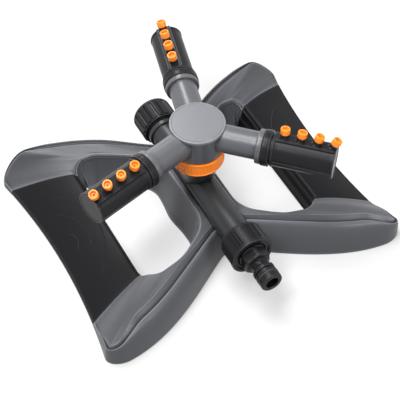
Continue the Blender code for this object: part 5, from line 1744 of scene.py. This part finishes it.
@dataclass(frozen=True)
class WaterTube(Part):
    """The tee: a run with a threaded spigot at each end and a tower for the rotor.

    Sizes are in millimetres, and the tower's heights are from the ground.
    """

    height: float = 35.3
    radius: float = 11.5
    bore: float = 8.2
    front: float = 63.5
    back: float = 58.0
    thread_radius: float = 13.1
    thread_length: float = 13.5
    thread_pitch: float = 1.814
    thread_depth: float = 0.8
    collar_radius: float = 13.2
    collar: Pair = (52.6, 56.2)
    tower: tuple[tuple[float, ...], ...] = (
        (10.2, 31.3), (12.2, 41.0, 3.0), (17.0, 56.5, 4.0), (17.0, 60.4, 0.5), (13.0, 60.4, 0.4),
        (13.0, 76.2, 0.5),
    )
    tower_bore: float = 7.4
    shoulder: float = 52.0
    lower_bore: float = 8.8

    def threaded_end(self) -> Patch:
        """A spigot with a screw thread, from its shoulder at 0 outward.

        The thread's depth is a rounded triangle of the phase height / pitch - angle / turn, and
        it fades out at both ends.

        Returns:
            The patch.
        """
        lead = 0.9
        radius, length, bore = self.thread_radius, self.thread_length, self.bore
        outside = rounded((radius, 0.0), (radius, length - lead), (radius - lead, length), longest=0.17)
        line = np.concatenate([outside, [[bore + 0.4, length], [bore, length - 0.4], [bore, 0.0]]])

        def cut(angles: Array, radius: Array, height: Array) -> Array:
            """The radius with the thread's valleys taken off.

            Args:
                angles: the angles round the axis.
                radius: the profile's radii.
                height: the heights along the axis.

            Returns:
                The radius at each angle and height.
            """
            phase = (height / self.thread_pitch - angles / (2.0 * math.pi)) % 1.0
            valley = smooth_step(np.abs(phase - 0.5), 0.48, 0.12)
            fade = smooth_step(height, 0.6, 1.6) * smooth_step(height, length + 0.2, length - 0.9)
            return radius - self.thread_depth * valley * fade * (radius > bore + 2.0)

        return shaped(line, circle(120), cut, hollow=True)

    def tee(self) -> Mesh:
        """The run and the tower, joined and bored."""
        start, end = self.collar
        run = rounded(
            (self.radius, -self.front), (self.radius, start, 0.5), (self.collar_radius, start, 0.5),
            (self.collar_radius, end, 0.5), (self.radius, end, 0.5), (self.radius, self.back),
            longest=6.0,
        )
        level = upright(0.0)
        along = to_back(0.0, self.height)
        bore = np.array([[self.bore, -self.front - 1.0], [self.bore, self.back + 1.0]])
        well = np.array([
            [0.5 * self.lower_bore, self.height], [self.lower_bore, self.height + 4.0],
            [self.lower_bore, self.shoulder], [self.tower_bore, self.shoulder],
            [self.tower_bore, self.tower[-1][1] + 5.0],
        ])
        cuts = [turned(bore).moved(along), turned(well).moved(level)]
        run_patch = turned(run, 120).moved(along)
        tower = turned(rounded(*self.tower, steps=8), 120).moved(level)
        return carved("tee", [run_patch], [tower], cuts)

    def build(self) -> None:
        """Makes the tube as one piece."""
        front = self.threaded_end().moved(to_front(self.front, self.height))
        back = self.threaded_end().moved(to_back(self.back, self.height))
        whole = joined("water_tube_body", [self.tee(), mesh_of("threads", front, back)])
        self.add(whole, Finish.TUBE_DARK, "tube_dark", "water_tube")


@dataclass(frozen=True)
class TowerRings(Part):
    """The orange collar round the tower, and the washer that carries the rotor.

    Sizes are in millimetres.
    """

    inner: float = 13.3
    foot: float = 20.2
    head: float = 19.9
    start: float = 60.7
    length: float = 11.4
    ribs: int = 72
    rib_depth: float = 0.22
    washer: tuple[float, float, float, float] = (7.4, 12.6, 0.0, 1.2)
    washer_start: float = 76.5

    def build(self) -> None:
        """Makes the collar, with fine ribs between two small beads, and the washer."""
        line = rounded(
            (self.inner, 0.0, 0.3), (self.foot, 0.0, 0.6), (self.foot, 1.0, 0.2),
            (self.foot - 0.25, 1.3, 0.2), (self.head - 0.25, self.length - 1.3, 0.2),
            (self.head, self.length - 1.0, 0.2), (self.head, self.length, 0.6),
            (self.inner, self.length, 0.3),
            closed=True,
        )
        line = finer(np.concatenate([line, line[:1]]), 1.0)[:-1]

        def ribbed(angles: Array, radius: Array, height: Array) -> Array:
            """The radius with a row of cosine ribs between the beads.

            Args:
                angles: the angles round the axis.
                radius: the profile's radii.
                height: the heights along the axis.

            Returns:
                The radius at each angle and height.
            """
            band = smooth_step(height, 1.2, 1.7) * smooth_step(height, self.length - 1.2, self.length - 1.7)
            ribs = 0.5 - 0.5 * np.cos(self.ribs * angles)
            return radius - self.rib_depth * band * (radius > self.inner + 3.0) * ribs

        collar = shaped(line, circle(self.ribs * 8), ribbed, hollow=True).moved(upright(self.start))
        self.add(mesh_of("orange_collar", collar), Finish.ORANGE, "ring_orange", "bearing_ring")
        washer = flat_ring(*self.washer, 0.2).moved(upright(self.washer_start))
        self.add(mesh_of("slip_washer", washer), Finish.WHITE, "washer_white", "thrust_washer")


# Rotor


ARM_DIRECTIONS = {"left": 195.3, "right": 315.3, "back": 75.3}


@dataclass(frozen=True)
class Hub(Part):
    """The rotor's drum with its stem and three arms, its lid, its seals and its clip.

    Sizes are in millimetres, and heights are from the ground.
    """

    body = "rotor"
    radius: float = 19.2
    foot: float = 72.7
    head: float = 95.2
    recess: float = 14.2
    recess_top: float = 78.0
    stem: float = 7.0
    stem_foot: float = 47.5
    stem_bore: float = 5.0
    stem_ring: Pair = (5.9, 0.6)
    clip: tuple[float, float, float, float] = (6.4, 8.3, 0.0, 1.4)
    clip_groove: Triple = (6.1, 49.9, 51.9)
    seal_groove: Triple = (5.75, 62.25, 63.75)
    chamber: float = 10.5
    chamber_floor: float = 80.6
    lid_radius: float = 20.8
    lid_thickness: float = 2.6
    lid_edge: float = 0.8
    lid_dome: float = 0.45
    arm_height: float = 86.9
    arm_radius: float = 10.6
    arm_bore: float = 6.4
    arm_root: float = 15.7
    flange_radius: float = 13.0
    flange_thickness: float = 4.0
    shoulder: float = 50.0
    spigot: float = 9.0
    spigot_length: float = 11.0
    arm_ring: Pair = (7.8, 0.6)
    arm_groove: Triple = (7.65, 54.75, 56.25)
    gap: float = 0.3

    def drum(self) -> Patch:
        """The drum and its stem as one turned solid."""
        low, high = self.clip_groove[1:]
        seal_low, seal_high = self.seal_groove[1:]
        line = rounded(
            (self.stem - 0.6, self.stem_foot), (self.stem, self.stem_foot + 0.6, 0.2), (self.stem, low),
            (self.clip_groove[0], low), (self.clip_groove[0], high), (self.stem, high),
            (self.stem, seal_low), (self.seal_groove[0], seal_low), (self.seal_groove[0], seal_high),
            (self.stem, seal_high), (self.stem, self.recess_top), (self.recess, self.recess_top),
            (self.recess, self.foot, 0.3), (self.radius, self.foot, 0.8), (self.radius, self.head),
        )
        return turned(line, 144).moved(upright(0.0))

    def along(self, degrees: float) -> Place:
        """An upright arm's place."""
        return along_arm(degrees, 0.0, self.arm_height)

    def arm(self, degrees: float) -> Patch:
        """One arm with its flange and its spigot, turned round its own X.

        Args:
            degrees: the arm's direction from the rotor's axis.

        Returns:
            The patch.
        """
        start = self.shoulder - self.flange_thickness
        floor, low, high = self.arm_groove
        line = rounded(
            (self.arm_radius, self.arm_root), (self.arm_radius, start, 0.7),
            (self.flange_radius, start, 0.7), (self.flange_radius, self.shoulder, 0.5),
            (self.spigot, self.shoulder, 0.2), (self.spigot, low), (floor, low), (floor, high),
            (self.spigot, high), (self.spigot, self.shoulder + self.spigot_length, 0.6),
            (self.arm_bore + 0.4, self.shoulder + self.spigot_length),
            longest=5.0,
        )
        return turned_along(turned(line)).moved(self.along(degrees))

    def body_mesh(self) -> Mesh:
        """The drum and the arms joined, with the water ways and the lid's seat cut out."""
        bore = np.array([[self.arm_bore, 2.5], [self.arm_bore, self.shoulder + 2.0 * self.spigot_length]])
        bore = turned_along(turned(bore, 64))
        cuts = [bore.moved(self.along(degrees)) for degrees in ARM_DIRECTIONS.values()]
        seat = self.lid_radius + self.gap
        water = np.array([
            [self.stem_bore, self.stem_foot - 5.0], [self.stem_bore, self.chamber_floor],
            [self.chamber, self.chamber_floor], [self.chamber, self.head], [seat, self.head],
            [seat, self.head + 20.0],
        ])
        cuts.append(turned(water, 144).moved(upright(0.0)))
        arms = [self.arm(degrees) for degrees in ARM_DIRECTIONS.values()]
        return carved("rotor_hub_body", [self.drum()], arms, cuts)

    def lid(self) -> Patch:
        """The lid: a disc with a rounded edge, a fine groove, a parabola's low dome and a plug."""
        radius, high, edge = self.lid_radius, self.lid_thickness, self.lid_edge
        line = rounded(
            (self.chamber - self.gap, -2.0, 0.3), (self.chamber - self.gap, 0.0, 0.2),
            (radius, 0.0, 0.35), (radius, high, edge), (radius - 1.5, high, 0.1),
            (radius - 1.7, high - 0.22, 0.08), (radius - 1.9, high - 0.22, 0.08),
            (radius - 2.1, high, 0.1),
        )
        across = np.linspace(radius - 2.3, 0.4, 14)
        dome = np.stack([across, high + self.lid_dome * (1.0 - (across / (radius - 2.1)) ** 2)], axis=1)
        return turned(np.concatenate([line, dome]), 192).moved(upright(self.head + self.gap))

    def build(self) -> None:
        """Makes the hub and everything that turns with it."""
        self.add(self.body_mesh(), Finish.ROTOR_GREY, "rotor_grey", "rotor_hub")
        self.add(mesh_of("lid", self.lid()), Finish.LID_GREY_LIT, "cap_light_grey", "hub_cap")
        ring = seal_patch(*self.stem_ring).moved(upright(0.5 * sum(self.seal_groove[1:])))
        self.add(mesh_of("stem_ring", ring), Finish.RUBBER, "rubber_black", "stem_seal")
        clip = flat_ring(*self.clip, 0.1).moved(upright(self.clip_groove[1] + self.gap))
        self.add(mesh_of("spring_clip", clip), Finish.STEEL, "clip_steel", "stem_clip")
        for side, degrees in ARM_DIRECTIONS.items():
            ring = seal_patch(*self.arm_ring, 0.5 * sum(self.arm_groove[1:]))
            ring = turned_along(ring).moved(self.along(degrees))
            self.add(mesh_of("arm_ring_" + side, ring), Finish.RUBBER, "rubber_black", "arm_seal_" + side)


@dataclass(frozen=True)
class SprayArm(Part):
    """A spray tube that turns on its arm, with four jets on its deck.

    Sizes are in millimetres, and lengths are from the rotor's axis.

    Attributes:
        side: the arm's name.
        degrees: its direction from the rotor's axis.
    """

    side: str
    degrees: float
    radius: float = 12.1
    wall: float = 2.8
    start: float = 50.3
    end: float = 103.4
    end_wall: float = 2.0
    lip_radius: float = 12.5
    collar_radius: float = 13.6
    collar_length: float = 5.6
    bead_radius: float = 12.9
    bead_length: float = 1.4
    lean: float = 12.0
    deck_height: float = 12.3
    deck_half: float = 5.6
    deck_line: float = 4.5
    rib_height: float = 0.45
    rib_angle: float = 104.0
    jets: int = 4
    jet_first: float = 64.6
    jet_pitch: float = 11.8
    jet_fan: float = 8.0
    boss_radius: float = 3.2
    boss_height: float = 3.2
    boss_hole: float = 1.75
    head_radius: float = 3.5
    head_height: float = 4.7
    stem_length: float = 2.4
    bore: float = 0.6
    cup_radius: float = 2.25
    cup_depth: float = 2.3
    arm_height: float = 86.9
    gap: float = 0.3

    @property
    def body(self) -> str:
        """The body that it rides on."""
        return "spray_" + self.side

    @property
    def place(self) -> Place:
        """The arm's place."""
        return along_arm(self.degrees, self.lean, self.arm_height)

    def angles(self) -> Array:
        """Angles round the tube from its deck, packed where the deck and the ribs bend."""
        corner = math.degrees(math.atan2(self.deck_half, self.deck_height))
        line = math.degrees(math.atan2(self.deck_line, self.deck_height))
        rib = self.rib_angle
        spans = [
            (0.0, line - 2.0, 6), (line - 1.4, line + 1.4, 9), (corner - 2.0, corner + 5.0, 22),
            (corner + 7.0, rib - 4.0, 22), (rib - 3.0, rib + 3.0, 13), (rib + 5.0, 180.0, 20),
        ]
        half = np.concatenate([np.linspace(*span) for span in spans])
        return np.radians(np.concatenate([half, 360.0 - half[-2:0:-1]]))

    def deck_radius(self, angles: Array) -> Array:
        """The body's radius: a circle joined with a flat deck and two thin ribs.

        The deck is the smaller of height / cos and half width / sin, blended by the logarithm
        of a sum of exponentials, with a fine groove along each side.

        Args:
            angles: angles from the deck's middle.

        Returns:
            The radius at each angle.
        """
        folded = np.abs((angles + math.pi) % (2.0 * math.pi) - math.pi)
        top = self.deck_height / np.maximum(np.cos(folded), 0.05)
        across = self.deck_height * np.tan(np.minimum(folded, 1.2))
        groove = np.exp(-(((across - self.deck_line) / 0.16) ** 2))
        side = self.deck_half / np.maximum(np.sin(folded), 0.05)
        soft = 0.09
        deck = -soft * np.logaddexp(-(top - 0.22 * groove) / soft, -side / soft)
        deck = np.where(folded < 1.0, deck, 0.0)
        body = soft * np.logaddexp(deck / soft, self.radius / soft)
        rib = np.exp(-(((np.degrees(folded) - self.rib_angle) / 1.5) ** 4))
        return body + self.rib_height * rib

    def tube(self) -> Patch:
        """The tube from its closed inner end out over its collar to its closed outer end."""
        collar_end = self.start + self.collar_length
        bead_start = collar_end + self.bead_length
        bead_end = bead_start + self.bead_length
        lip_start = self.end - 1.2
        bore = self.radius - self.wall
        line = rounded(
            (bore, self.end - self.end_wall, 0.5), (bore, self.start, 0.4),
            (self.collar_radius, self.start, 0.5), (self.collar_radius, self.start + 3.7, 0.15),
            (self.collar_radius - 0.3, self.start + 3.9, 0.1),
            (self.collar_radius - 0.3, self.start + 4.3, 0.1),
            (self.collar_radius, self.start + 4.5, 0.15), (self.collar_radius, collar_end, 0.5),
            (self.radius, collar_end, 0.3), (self.radius, bead_start, 0.3),
            (self.bead_radius, bead_start, 0.4), (self.bead_radius, bead_end, 0.4),
            (self.radius, bead_end, 0.1), (self.radius, lip_start, 0.1),
            (self.lip_radius, lip_start, 0.2), (self.lip_radius, self.end, 0.4),
            (self.lip_radius - 1.3, self.end, 0.2), (self.lip_radius - 1.6, self.end - 0.25, 0.2),
            (4.0, self.end - 0.25),
            longest=3.0,
        )

        def body(angles: Array, radius: Array, along: Array) -> Array:
            """The turned radius, or the deck's where that is larger and outside.

            Args:
                angles: the angles round the axis.
                radius: the profile's radii.
                along: the distances along the axis.

            Returns:
                The radius at each angle and distance.
            """
            outside = radius > self.radius - 0.02
            share = smooth_step(along, bead_end - 0.1, bead_end + 0.15) * outside
            return np.maximum(radius, radius + (self.deck_radius(angles) - radius) * share)

        return turned_along(shaped(line, self.angles(), body)).moved(self.place)

    def seat(self, index: int) -> Place:
        """A jet's place in the arm's own axes: on the deck, tilted outward about Y.

        Args:
            index: the jet's number, from 0 next to the rotor.

        Returns:
            The place.
        """
        tilt = math.radians(index * self.jet_fan)
        cos, sin = math.cos(tilt), math.sin(tilt)
        origin = (self.jet_first + index * self.jet_pitch, 0.0, self.deck_height)
        return Place(origin, ((cos, 0.0, -sin), (0.0, 1.0, 0.0), (sin, 0.0, cos)))

    def boss(self, index: int) -> Patch:
        """The raised seat of a jet, with a small fillet at its foot.

        Args:
            index: the jet's number, from 0 next to the rotor.

        Returns:
            The patch.
        """
        top = self.boss_height
        line = rounded(
            (self.boss_radius + 0.6, -1.6), (self.boss_radius + 0.6, -0.2, 0.2),
            (self.boss_radius, 0.5, 0.4), (self.boss_radius, top, 0.3), (self.boss_hole, top, 0.1),
            (self.boss_hole, top - 1.0),
        )
        return turned(line, 48).moved(self.seat(index)).moved(self.place)

    def jet(self, index: int) -> Patch:
        """A jet: a stem, a rounded head and a cup down to its fine bore.

        Args:
            index: the jet's number, from 0 next to the rotor.

        Returns:
            The patch.
        """
        stem = self.boss_hole - self.gap
        foot = self.boss_height + self.gap
        head = foot + self.head_height
        line = rounded(
            (self.bore, foot - self.stem_length), (stem, foot - self.stem_length, 0.3), (stem, foot, 0.1),
            (self.head_radius, foot, 0.45), (self.head_radius, head, 0.95),
            (self.cup_radius + 0.2, head, 0.2), (self.cup_radius, head - 0.5, 0.2),
            (self.cup_radius - 0.5, head - self.cup_depth, 0.3),
            (self.bore + 0.15, head - self.cup_depth, 0.1), (self.bore, head - self.cup_depth - 0.3),
            closed=True,
        )
        return turned(line, 64, hollow=True).moved(self.seat(index)).moved(self.place)

    def build(self) -> None:
        """Makes the tube with its bosses, and the jets."""
        meshes = [mesh_of("tube", self.tube())]
        meshes += [mesh_of("boss", self.boss(index)) for index in range(self.jets)]
        name = "spray_tube_" + self.side
        self.add(joined(name + "_body", meshes), Finish.GLOSS_BLACK, "gloss_black", name)
        for index in range(self.jets):
            node = f"nozzle_{self.side}_{index + 1}"
            self.add(mesh_of(node + "_jet", self.jet(index)), Finish.ORANGE, "nozzle_orange", node)


# Inlet and outlet


@dataclass(frozen=True)
class UnionNut(Part):
    """The inlet's union nut.

    Sizes are in millimetres, from its back end.
    """

    body = "inlet_union_nut"
    start: float = 63.9
    height: float = 35.3
    length: float = 20.7
    radius: float = 16.6
    slot_radius: float = 15.2
    back_radius: float = 15.4
    flange_radius: float = 17.0
    flange_length: float = 3.0
    panels: int = 6
    slot_angle: float = 12.0
    mouth: float = 11.6
    recess: float = 14.2
    recess_depth: float = 1.2
    bore: float = 13.4
    web: float = 17.6

    def nut(self) -> Patch:
        """The nut: a turned line whose outside sinks to the slots between its six panels.

        The slot's depth is a smooth step of the distance from the slot's middle, in
        millimetres round the nut, and of the distance along it from the slot's two ends.

        Returns:
            The patch.
        """
        flange = self.length - self.flange_length
        line = rounded(
            (self.bore, 0.0, 0.3), (self.back_radius, 0.0, 0.8), (self.back_radius, 2.2, 0.2),
            (self.radius, 2.2, 0.9), (self.radius, flange, 0.1), (self.flange_radius, flange, 0.3),
            (self.flange_radius, self.length, 0.7), (self.recess, self.length, 0.3),
            (self.recess, self.length - self.recess_depth, 0.2),
            (self.mouth, self.length - self.recess_depth, 0.3), (self.mouth, self.web),
            (self.bore, self.web),
            closed=True, longest=0.8,
        )
        pitch = 2.0 * math.pi / self.panels
        half = 0.5 * math.radians(self.slot_angle) * self.radius

        def slotted(angles: Array, radius: Array, height: Array) -> Array:
            """The radius, cut down to the slot's floor.

            Args:
                angles: the angles round the axis.
                radius: the profile's radii.
                height: the heights along the axis.

            Returns:
                The radius at each angle and height.
            """
            offset = np.abs((angles + 0.5 * pitch) % pitch - 0.5 * pitch) * self.radius
            inside = smooth_step(offset, half + 0.35, half - 0.25)
            inside = inside * smooth_step(height, 2.0, 2.3)
            inside = inside * smooth_step(height, flange + 0.05, flange - 0.3)
            low = np.minimum(radius, self.slot_radius)
            return radius + (low - radius) * inside * (radius > self.bore + 0.5)

        near = np.linspace(-half - 0.6, half + 0.6, 22) / self.radius
        far = np.linspace(half + 1.2, pitch * self.radius - half - 1.2, 24) / self.radius
        angles = np.concatenate([k * pitch + np.concatenate([near, far]) for k in range(self.panels)])
        return shaped(line, angles, slotted, hollow=True).moved(to_front(self.start, self.height))

    def build(self) -> None:
        """Makes the nut."""
        self.add(mesh_of("union_nut", self.nut()), Finish.GLOSS_BLACK, "gloss_black", "inlet_nut")


@dataclass(frozen=True)
class HoseNipple(Part):
    """The nipple in the union nut, its ring and the flat washer behind it.

    Sizes are in millimetres, from the back of the nipple's flange.
    """

    body = "inlet_fitting"
    start: float = 79.4
    height: float = 35.3
    flange: Pair = (12.7, 1.8)
    root: Pair = (10.8, 13.4)
    neck: Pair = (6.3, 20.0)
    collar: Pair = (8.5, 22.4)
    groove: Pair = (7.3, 23.6)
    band: float = 26.0
    seal_end: float = 28.1
    seal_floor: float = 6.7
    tip: float = 33.2
    bore: float = 5.0
    seal_radius: float = 0.9
    washer: tuple[float, float, float, float] = (6.0, 12.5, -2.1, -0.3)

    def nipple(self) -> Patch:
        """The nipple: a turned line whose root is cut to six flats.

        The flats are the smaller of the radius and 0.9 of it over the cosine of the angle from
        the flat's middle.

        Returns:
            The patch.
        """
        root, root_end = self.root
        neck, neck_end = self.neck
        collar, collar_end = self.collar
        groove, groove_end = self.groove
        line = rounded(
            (self.bore, 0.0), (self.flange[0], 0.0, 0.3), (self.flange[0], self.flange[1], 0.3),
            (root, self.flange[1], 0.2), (root, root_end - 0.4, 1.8), (neck + 0.9, root_end + 0.8, 0.8),
            (neck, root_end + 2.4, 2.0), (neck, neck_end - 1.4, 2.0), (collar, neck_end, 0.4),
            (collar, collar_end, 0.3), (groove, collar_end + 0.2, 0.2), (groove, groove_end, 0.2),
            (collar, groove_end + 0.4, 0.3), (collar, self.band, 0.2), (self.seal_floor, self.band, 0.2),
            (self.seal_floor, self.seal_end, 0.2), (collar, self.seal_end, 0.25), (collar, self.tip, 1.5),
            (self.bore + 0.5, self.tip, 0.3), (self.bore, self.tip - 0.5, 0.2),
            closed=True, longest=0.7,
        )

        def flats(angles: Array, radius: Array, height: Array) -> Array:
            """The radius with the six flats cut.

            Args:
                angles: the angles round the axis.
                radius: the profile's radii.
                height: the heights along the axis.

            Returns:
                The radius at each angle and height.
            """
            folded = np.abs((angles + math.pi / 6.0) % (math.pi / 3.0) - math.pi / 6.0)
            across = 0.9 * radius / np.cos(folded)
            soft = 0.05
            cut = -soft * np.logaddexp(-across / soft, -radius / soft)
            share = smooth_step(height, 5.2, 5.5) * smooth_step(height, root_end + 0.4, root_end - 1.0)
            return radius + (cut - radius) * share * (radius > self.bore + 0.7)

        return shaped(line, circle(192), flats, hollow=True).moved(to_front(self.start, self.height))

    def build(self) -> None:
        """Makes the nipple, its ring and the washer."""
        self.add(mesh_of("hose_nipple", self.nipple()), Finish.GLOSS_BLACK, "gloss_black", "inlet_nipple")
        place = to_front(self.start, self.height)
        inner = self.collar[0] - 2.0 * self.seal_radius + 0.15
        ring = seal_patch(inner, self.seal_radius, 0.5 * (self.band + self.seal_end), 96).moved(place)
        self.add(mesh_of("tip_ring", ring), Finish.RUBBER, "rubber_black", "nipple_ring")
        washer = flat_ring(*self.washer, 0.3).moved(place)
        self.add(mesh_of("flat_washer", washer), Finish.RUBBER, "rubber_black", "inlet_washer")


@dataclass(frozen=True)
class Outlet(Part):
    """The ribbed cap on the back end, and its washer.

    Sizes are in millimetres, from the cap's mouth.
    """

    body = "outlet_cap"
    start: float = 58.4
    height: float = 35.3
    length: float = 21.0
    radius: float = 16.0
    groove_depth: float = 0.9
    ribs: int = 18
    shoulder: float = 3.4
    bore: float = 13.4
    inner_end: float = 15.5
    washer: tuple[float, float, float, float] = (8.2, 12.5, 13.4, 15.2)

    def cap(self) -> Patch:
        """The cap: a turned line with round-ended grooves between its ribs.

        A groove is a capsule unrolled on the cap: the distance from its middle line, less its
        half width, smoothly stepped.

        Returns:
            The patch.
        """
        line = rounded(
            (0.35 * self.bore, self.inner_end), (self.bore, self.inner_end, 0.3), (self.bore, 0.0, 0.2),
            (self.radius - self.groove_depth, 0.0, 0.5), (self.radius - self.groove_depth, 1.6, 0.2),
            (self.radius, 1.6, 0.5), (self.radius, self.length, self.shoulder), (6.0, self.length),
            steps=10, longest=0.45,
        )
        pitch = 2.0 * math.pi / self.ribs
        half = 0.21 * pitch * self.radius
        groove_end = self.length - self.shoulder - half

        def ribbed(angles: Array, radius: Array, height: Array) -> Array:
            """The radius with the grooves pressed in.

            Args:
                angles: the angles round the axis.
                radius: the profile's radii.
                height: the heights along the axis.

            Returns:
                The radius at each angle and height.
            """
            around = np.abs((angles + 0.5 * pitch) % pitch - 0.5 * pitch) * self.radius
            distance = np.hypot(around, np.maximum(height - groove_end, 0.0)) - half
            deep = smooth_step(distance, 0.42, -0.42) * smooth_step(height, 1.5, 1.7)
            return radius - self.groove_depth * deep * (radius > self.bore + 1.2)

        return shaped(line, circle(self.ribs * 16), ribbed).moved(to_back(self.start, self.height))

    def build(self) -> None:
        """Makes the cap and its washer."""
        self.add(mesh_of("screw_cap", self.cap()), Finish.GLOSS_BLACK, "gloss_black", "end_cap")
        washer = flat_ring(*self.washer, 0.3).moved(to_back(self.start, self.height))
        washer = mesh_of("cap_washer", washer)
        self.add(washer, Finish.RUBBER, "rubber_black", "end_cap_washer", body="outlet_washer")


# Studio


@dataclass(frozen=True)
class Lamp:
    """A flat soft light that looks at a point of the sprinkler. Places are in metres."""

    name: str
    place: Triple
    size: Pair
    power: float
    target: Triple = (0.0, 0.0, 0.04)

    def build(self) -> None:
        """Hangs the light."""
        light = bpy.data.lights.new(self.name, "AREA")
        light.shape = "RECTANGLE"
        light.size, light.size_y = self.size
        light.energy = self.power
        lamp = placed(self.name, light)
        direction = Vector(self.target) - Vector(self.place)
        lamp.location = self.place
        lamp.rotation_euler = direction.to_track_quat("-Z", "Y").to_euler()


@dataclass(frozen=True)
class Studio:
    """The camera, the white floor, the backdrop and the lights."""

    azimuth: float = 28.59
    elevation: float = 50.71
    distance: float = 1.00169
    lens: float = 113.4
    sensor: float = 36.0
    aim: Pair = (0.00186, 0.01182)
    drop: float = 0.00978
    floor_size: float = 6.0
    floor_drop: float = 0.00003
    floor_albedo: float = 0.38
    floor_lift: float = 0.36
    floor_fade: Pair = (0.35, 1.10)
    world_light: float = 0.12
    lamps: tuple[Lamp, ...] = (
        Lamp("top", (-0.15, 0.25, 1.30), (0.70, 0.70), 18.0),
        Lamp("sheen", (0.03, 0.82, 0.88), (0.30, 0.30), 6.0),
        Lamp("left", (-0.57, -0.15, 1.10), (0.35, 0.35), 8.5),
        Lamp("back", (0.00, 1.20, 0.20), (1.20, 0.25), 3.0),
        Lamp("front", (0.30, -1.00, 0.62), (0.40, 0.40), 8.5),
    )

    def camera(self) -> None:
        """Sets the camera where the photograph was taken: back from its aim along its own axis."""
        turn, rise = math.radians(self.azimuth), math.radians(self.elevation)
        back = Vector((-math.sin(turn) * math.cos(rise), -math.cos(turn) * math.cos(rise), math.sin(rise)))
        right = Vector((math.cos(turn), -math.sin(turn), 0.0))
        up = back.cross(right)
        data = bpy.data.cameras.new("photo_camera")
        data.sensor_width = self.sensor
        data.lens = self.lens
        camera = placed("photo_camera", data)
        place = Matrix((right, up, back)).transposed().to_4x4()
        aim = right * self.aim[0] + up * self.aim[1] - Vector((0.0, 0.0, self.drop))
        place.translation = aim + back * self.distance
        camera.matrix_world = place
        bpy.context.scene.camera = camera

    def floor(self) -> None:
        """Lays the floor: matt, with a glow that only straight rays see, so that it looks white.

        The glow grows with the distance from the object, from the lift to full white.
        """
        half = 0.5 * self.floor_size
        mesh = bpy.data.meshes.new("floor")
        corners = [(-half, -half), (half, -half), (half, half), (-half, half)]
        mesh.from_pydata([(x, y, -self.floor_drop) for x, y in corners], [], [(0, 1, 2, 3)])
        floor = placed("floor", mesh)
        bench = Bench("paper")
        bench.set(Base_Color=grey(self.floor_albedo), Roughness=1.0, Specular_IOR_Level=0.0)
        away = bench.node("ShaderNodeVectorMath", {"operation": "LENGTH"}, {0: bench.place})
        far = Wire(bench, away.outputs["Value"]).between(*self.floor_fade)
        glow = bench.mix(far, grey(self.floor_lift), grey(1.0))
        bench.set(Emission_Color=bench.mix(bench.straight_ray(), grey(0.0), glow), Emission_Strength=1.0)
        mesh.materials.append(bench.material)

    def world(self) -> None:
        """Paints the backdrop: white for straight rays and a soft grey light for the rest."""
        world = bpy.data.worlds.new("studio")
        world.use_nodes = True
        bpy.context.scene.world = world
        graph = Graph(world.node_tree)
        light = graph.mix(graph.straight_ray(), grey(self.world_light), grey(1.0))
        graph.feed(world.node_tree.nodes["Background"].inputs["Color"], light)

    def build(self) -> None:
        """Sets up the whole studio."""
        self.camera()
        self.floor()
        self.world()
        for lamp in self.lamps:
            lamp.build()
        bpy.context.scene.view_settings.view_transform = "Standard"


def main() -> None:
    """Builds the studio and the sprinkler."""
    logging.basicConfig(level=logging.INFO, format="%(message)s")
    Studio().build()
    arms = [SprayArm(side, degrees) for side, degrees in ARM_DIRECTIONS.items()]
    for part in (Base(), WaterTube(), TowerRings(), Hub(), *arms, UnionNut(), HoseNipple(), Outlet()):
        part.build()


if __name__ == "__main__":
    main()
